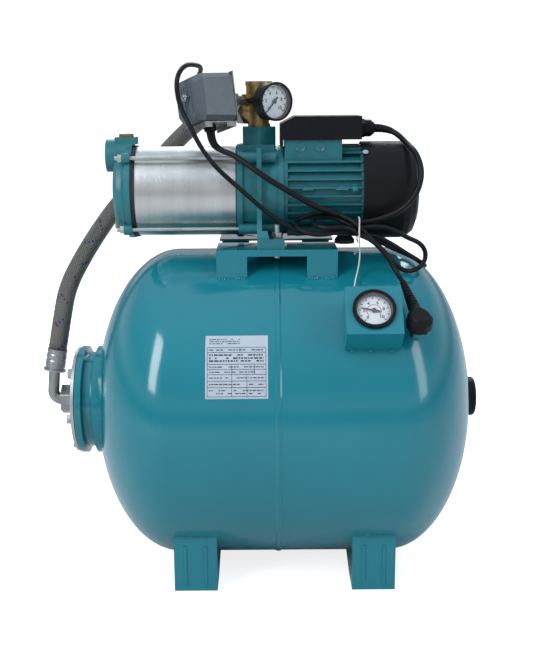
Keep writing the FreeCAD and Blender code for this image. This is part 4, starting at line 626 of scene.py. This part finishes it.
# from the rim inwards: radius, and place along Y from the motor frame's front face
KNOCKOUT_RINGS = ((0.0074, 0.0), (0.0072, -0.0009), (0.0064, -0.0009), (0.0061, -0.0002), (0.003, -0.0004),
                  (0.0004, -0.0005))
KNOCKOUT_SIDES = 32

vertices, faces = [], []
for x in KNOCKOUTS_X:
    y = front_of("motor_frame", x, KNOCKOUT_Z)
    base = len(vertices)
    for radius, rise in KNOCKOUT_RINGS:
        for a in turns(KNOCKOUT_SIDES):
            vertices.append(Vector((x + radius * math.cos(a), y + rise, KNOCKOUT_Z + radius * math.sin(a))))
    bands(faces, base, len(KNOCKOUT_RINGS), KNOCKOUT_SIDES)
    faces.append(tuple(range(len(vertices) - KNOCKOUT_SIDES, len(vertices))))
paint(mesh_piece("box_base_knockouts", vertices, faces), frame_paint)


# ---------------------------------------------------------------- cast studs between the fins, and weld beads
def lump(vertices, faces, centre, ux, uy, uz, size, power=0.8, rings=5, sides=16):
    """A low rounded bump on a surface: ux and uy lie on it and uz points out of it."""
    base = len(vertices)
    for i in range(rings):
        a = math.pi / 2 * i / rings
        for t in turns(sides):
            x, y = math.cos(t), math.sin(t)
            x, y = math.copysign(abs(x) ** power, x), math.copysign(abs(y) ** power, y)
            vertices.append(centre + ux * (size[0] * x * math.cos(a)) + uy * (size[1] * y * math.cos(a))
                            + uz * (size[2] * math.sin(a)))
    vertices.append(centre + uz * size[2])
    bands(faces, base, rings, sides)
    last, top = base + (rings - 1) * sides, base + rings * sides
    for k in range(sides):
        faces.append((last + k, last + (k + 1) % sides, top))


# the studs on each side of the motor frame: place along it, half length, half height and rise
STUDS = ((0.036, 0.009, 0.0026, 0.0035), (0.083, 0.010, 0.0026, 0.0035), (0.101, 0.0052, 0.0052, 0.006))
STUD_Y, STUD_Z = 0.0625, 0.549

vertices, faces = [], []
for side in (-1, 1):
    for x, half_x, half_z, rise in STUDS:
        lump(vertices, faces, Vector((x, side * STUD_Y, STUD_Z)), X, Z, Y * side, (half_x, half_z, rise))
paint(mesh_piece("frame_studs", vertices, faces), frame_paint)

vertices, faces = [], []
weld = random.Random(3)


def bead(a, b, out_at, count, size):
    """A row of small overlapping weld lumps from a to b."""
    for i in range(count):
        spot_on = a.lerp(b, (i + 0.5) / count)
        out = out_at(spot_on)
        along = (b - a).normalized()
        across = out.cross(along).normalized()
        lump(vertices, faces, spot_on, along, across, out,
             ((b - a).length / count * weld.uniform(0.5, 0.7), size * weld.uniform(0.7, 1.1),
              size * weld.uniform(0.5, 0.8)), 1.0, 3, 8)


def from_tank(p):
    """The way straight out of the tank's round at a place on it."""
    return Vector((0, p.y, p.z - TANK_HEIGHT)).normalized()


def tank_line(x, y, z_sign=1):
    """The place on the tank's round at a given x and y."""
    return Vector((x, y, TANK_HEIGHT + z_sign * math.sqrt((TANK_RADIUS + 0.0002) ** 2 - y * y)))


BRACKET_WELDS = ((0.003, 0.017), (0.026, 0.04))     # from each end of a bracket
FOOT_WELDS = ((-0.146, -0.104), (0.104, 0.146))
FOOT_WELD_Y = 0.1672
for name, front in (("pump_bracket_front", -1), ("pump_bracket_rear", 1)):
    low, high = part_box(name)
    y = (low.y if front < 0 else high.y) + 0.0014 * front
    spans = [(low.x + a, low.x + b) for a, b in BRACKET_WELDS]
    spans += [(high.x - b, high.x - a) for a, b in BRACKET_WELDS[::-1]]
    for x0, x1 in spans:
        bead(tank_line(x0, y), tank_line(x1, y), from_tank, 4, 0.0034)
for y in (-FOOT_WELD_Y, FOOT_WELD_Y):
    for x0, x1 in FOOT_WELDS:
        bead(tank_line(x0, y, -1), tank_line(x1, y, -1), from_tank, 11, 0.003)
for x in (0.088, 0.113, 0.139):     # three spots below the gauge box
    spot_weld = Vector((x, -0.1912, 0.3512))
    lump(vertices, faces, spot_weld, X, unit(Vector((0, -0.53, 0.85))).cross(X), from_tank(spot_weld),
         (0.0034, 0.003, 0.0024), 1.0, 4, 12)
paint(mesh_piece("weld_beads", vertices, faces), tank_paint)


# ---------------------------------------------------------------- rating label on the tank
LABEL_X = (-0.103, -0.0215)
LABEL_TURN = (math.radians(16.1), math.radians(37.6))     # over the level of the tank's axis
FOIL_LIFT, INK_LIFT = 0.0003, 0.0005


def on_label(s, t, lift):
    """A place on the label, from 0..1 across and 0..1 up, a little over the tank."""
    a = LABEL_TURN[0] + (LABEL_TURN[1] - LABEL_TURN[0]) * t
    r = TANK_RADIUS + lift
    x = LABEL_X[0] + (LABEL_X[1] - LABEL_X[0]) * s
    return Vector((x, -r * math.cos(a), TANK_HEIGHT + r * math.sin(a)))


def label_patch(vertices, faces, s0, t0, s1, t1, lift=INK_LIFT, steps=1):
    """A printed rectangle that follows the tank's round in a number of steps."""
    base = len(vertices)
    for j in range(steps + 1):
        t = t0 + (t1 - t0) * j / steps
        vertices += [on_label(s0, t, lift), on_label(s1, t, lift)]
    for j in range(steps):
        k = base + 2 * j
        faces.append((k, k + 1, k + 3, k + 2))


vertices, faces = [], []
label_patch(vertices, faces, 0, 0, 1, 1, FOIL_LIFT, 24)
foil = plain("label_foil", (0.5, 0.55, 0.6), 0.05, (0.3, 0.42), 60, 900, 0.08, 0.0002, Metallic=0.1)
paint(mesh_piece("rating_label", vertices, faces), foil)

LEVEL_RULES = (0.03, 0.17, 0.27, 0.37, 0.45, 0.53, 0.72, 0.80)
SHORT_RULES = ((0.42, 0.03, 0.53), (0.66, 0.03, 0.37), (0.78, 0.37, 0.53), (0.55, 0.72, 0.80))
# rows of dashes in place of words: place up the label and height of a row
WORD_ROWS = ((0.93, 0.012), (0.895, 0.012), (0.86, 0.012), (0.67, 0.022), (0.62, 0.022), (0.575, 0.022),
             (0.755, 0.016), (0.485, 0.014), (0.405, 0.014), (0.315, 0.014), (0.215, 0.014), (0.12, 0.014),
             (0.075, 0.014))
RULE_WIDTH, WORD_GAP = 0.006, 0.014

vertices, faces = [], []
rng = random.Random(7)
for t in LEVEL_RULES:
    label_patch(vertices, faces, 0.03, t, 0.97, t + 0.007)
for s in (0.03, 0.963):
    label_patch(vertices, faces, s, 0.03, s + RULE_WIDTH, 0.807, steps=8)
for s, low, high in SHORT_RULES:
    label_patch(vertices, faces, s, low, s + RULE_WIDTH, high, steps=5)
for t, size in WORD_ROWS:
    s = 0.06
    limit = 0.55 if t > 0.85 else 0.93
    while s < limit:
        width = rng.uniform(0.02, 0.075)
        if rng.random() < 0.82:
            label_patch(vertices, faces, s, t, min(s + width, limit), t + size)
        s += width + WORD_GAP
paint(mesh_piece("rating_label_lines", vertices, faces, smooth=False), ink)


# ---------------------------------------------------------------- floor and light
FLOOR_RADII = (1.0, 3.0, 9.0, 30.0)
FLOOR_SIDES = 64
FLOOR_Z = -0.0002
vertices = [Vector((0, 0, FLOOR_Z))]
for radius in FLOOR_RADII:
    for a in turns(FLOOR_SIDES):
        vertices.append(Vector((radius * math.cos(a), radius * math.sin(a), FLOOR_Z)))
faces = [(0, 1 + k, 1 + (k + 1) % FLOOR_SIDES) for k in range(FLOOR_SIDES)]
for low in range(1, 1 + 3 * FLOOR_SIDES, FLOOR_SIDES):
    high = low + FLOOR_SIDES
    for k in range(FLOOR_SIDES):
        m = (k + 1) % FLOOR_SIDES
        faces.append((low + k, high + k, high + m, low + m))
mesh = bpy.data.meshes.new("studio_floor")
mesh.from_pydata([tuple(v) for v in vertices], [], faces)
floor = bpy.data.objects.new("studio_floor", mesh)
scene.collection.objects.link(floor)
ground = plain("studio_floor", (0.7, 0.69, 0.68), 0.01, (0.7, 0.85), 2, 40, 0.02, 0.001)
ground.shader.inputs["Emission Color"].default_value = (1, 1, 1, 1)
ground.put(ground.shader.inputs["Emission Strength"],
           ground.math("MULTIPLY", ground.node("ShaderNodeLightPath").outputs["Is Camera Ray"], 0.8))
paint(floor, ground)

world = bpy.data.worlds.new("studio")
scene.world = world
world.use_nodes = True
tree = world.node_tree
backdrop = tree.nodes["Background"]
spread = tree.nodes.new("ShaderNodeTexCoord")
split = tree.nodes.new("ShaderNodeSeparateXYZ")
tree.links.new(spread.outputs["Generated"], split.inputs[0])
lift = tree.nodes.new("ShaderNodeMapRange")
lift.inputs[1].default_value = -1
tree.links.new(split.outputs[2], lift.inputs[0])
sky = tree.nodes.new("ShaderNodeValToRGB")
STOPS = [(0.0, (0.3, 0.28, 0.26)), (0.47, (0.22, 0.2, 0.18)), (0.53, (0.22, 0.21, 0.2)),
         (0.58, (0.62, 0.64, 0.68)), (0.7, (0.3, 0.36, 0.46)), (0.86, (0.5, 0.64, 0.85)),
         (1.0, (0.75, 0.88, 1.0))]
while len(sky.color_ramp.elements) < len(STOPS):
    sky.color_ramp.elements.new(0.5)
for element, (spot_at, tone) in zip(sky.color_ramp.elements, STOPS):
    element.position = spot_at
    element.color = tone + (1,)
tree.links.new(lift.outputs[0], sky.inputs[0])
seen = tree.nodes.new("ShaderNodeLightPath")
choose = tree.nodes.new("ShaderNodeMix")
choose.data_type = "RGBA"
tree.links.new(seen.outputs["Is Camera Ray"], choose.inputs[0])
tree.links.new(sky.outputs[0], choose.inputs[6])
choose.inputs[7].default_value = (1.05, 1.05, 1.05, 1)
tree.links.new(choose.outputs[2], backdrop.inputs[0])
backdrop.inputs[1].default_value = 1.0


def lamp(name, place, target, size, power, tint=(1, 1, 1)):
    data = bpy.data.lights.new(name, "AREA")
    data.shape = "RECTANGLE"
    data.size, data.size_y = size
    data.energy = power
    data.color = tint
    obj = bpy.data.objects.new(name, data)
    scene.collection.objects.link(obj)
    obj.location = place
    obj.rotation_euler = (Vector(target) - Vector(place)).to_track_quat("-Z", "Y").to_euler()


lamp("key", (-1.9, -1.9, 2.1), (0, 0, 0.35), (0.9, 2.2), 52)
lamp("side", (2.2, -1.4, 1.5), (0, 0, 0.35), (0.8, 1.8), 16)
lamp("back", (0.3, 2.2, 2.0), (0, 0, 0.4), (2.0, 1.0), 22)
scene.view_settings.view_transform = "Standard"
scene.view_settings.look = "None"

bpy.context.view_layer.update()
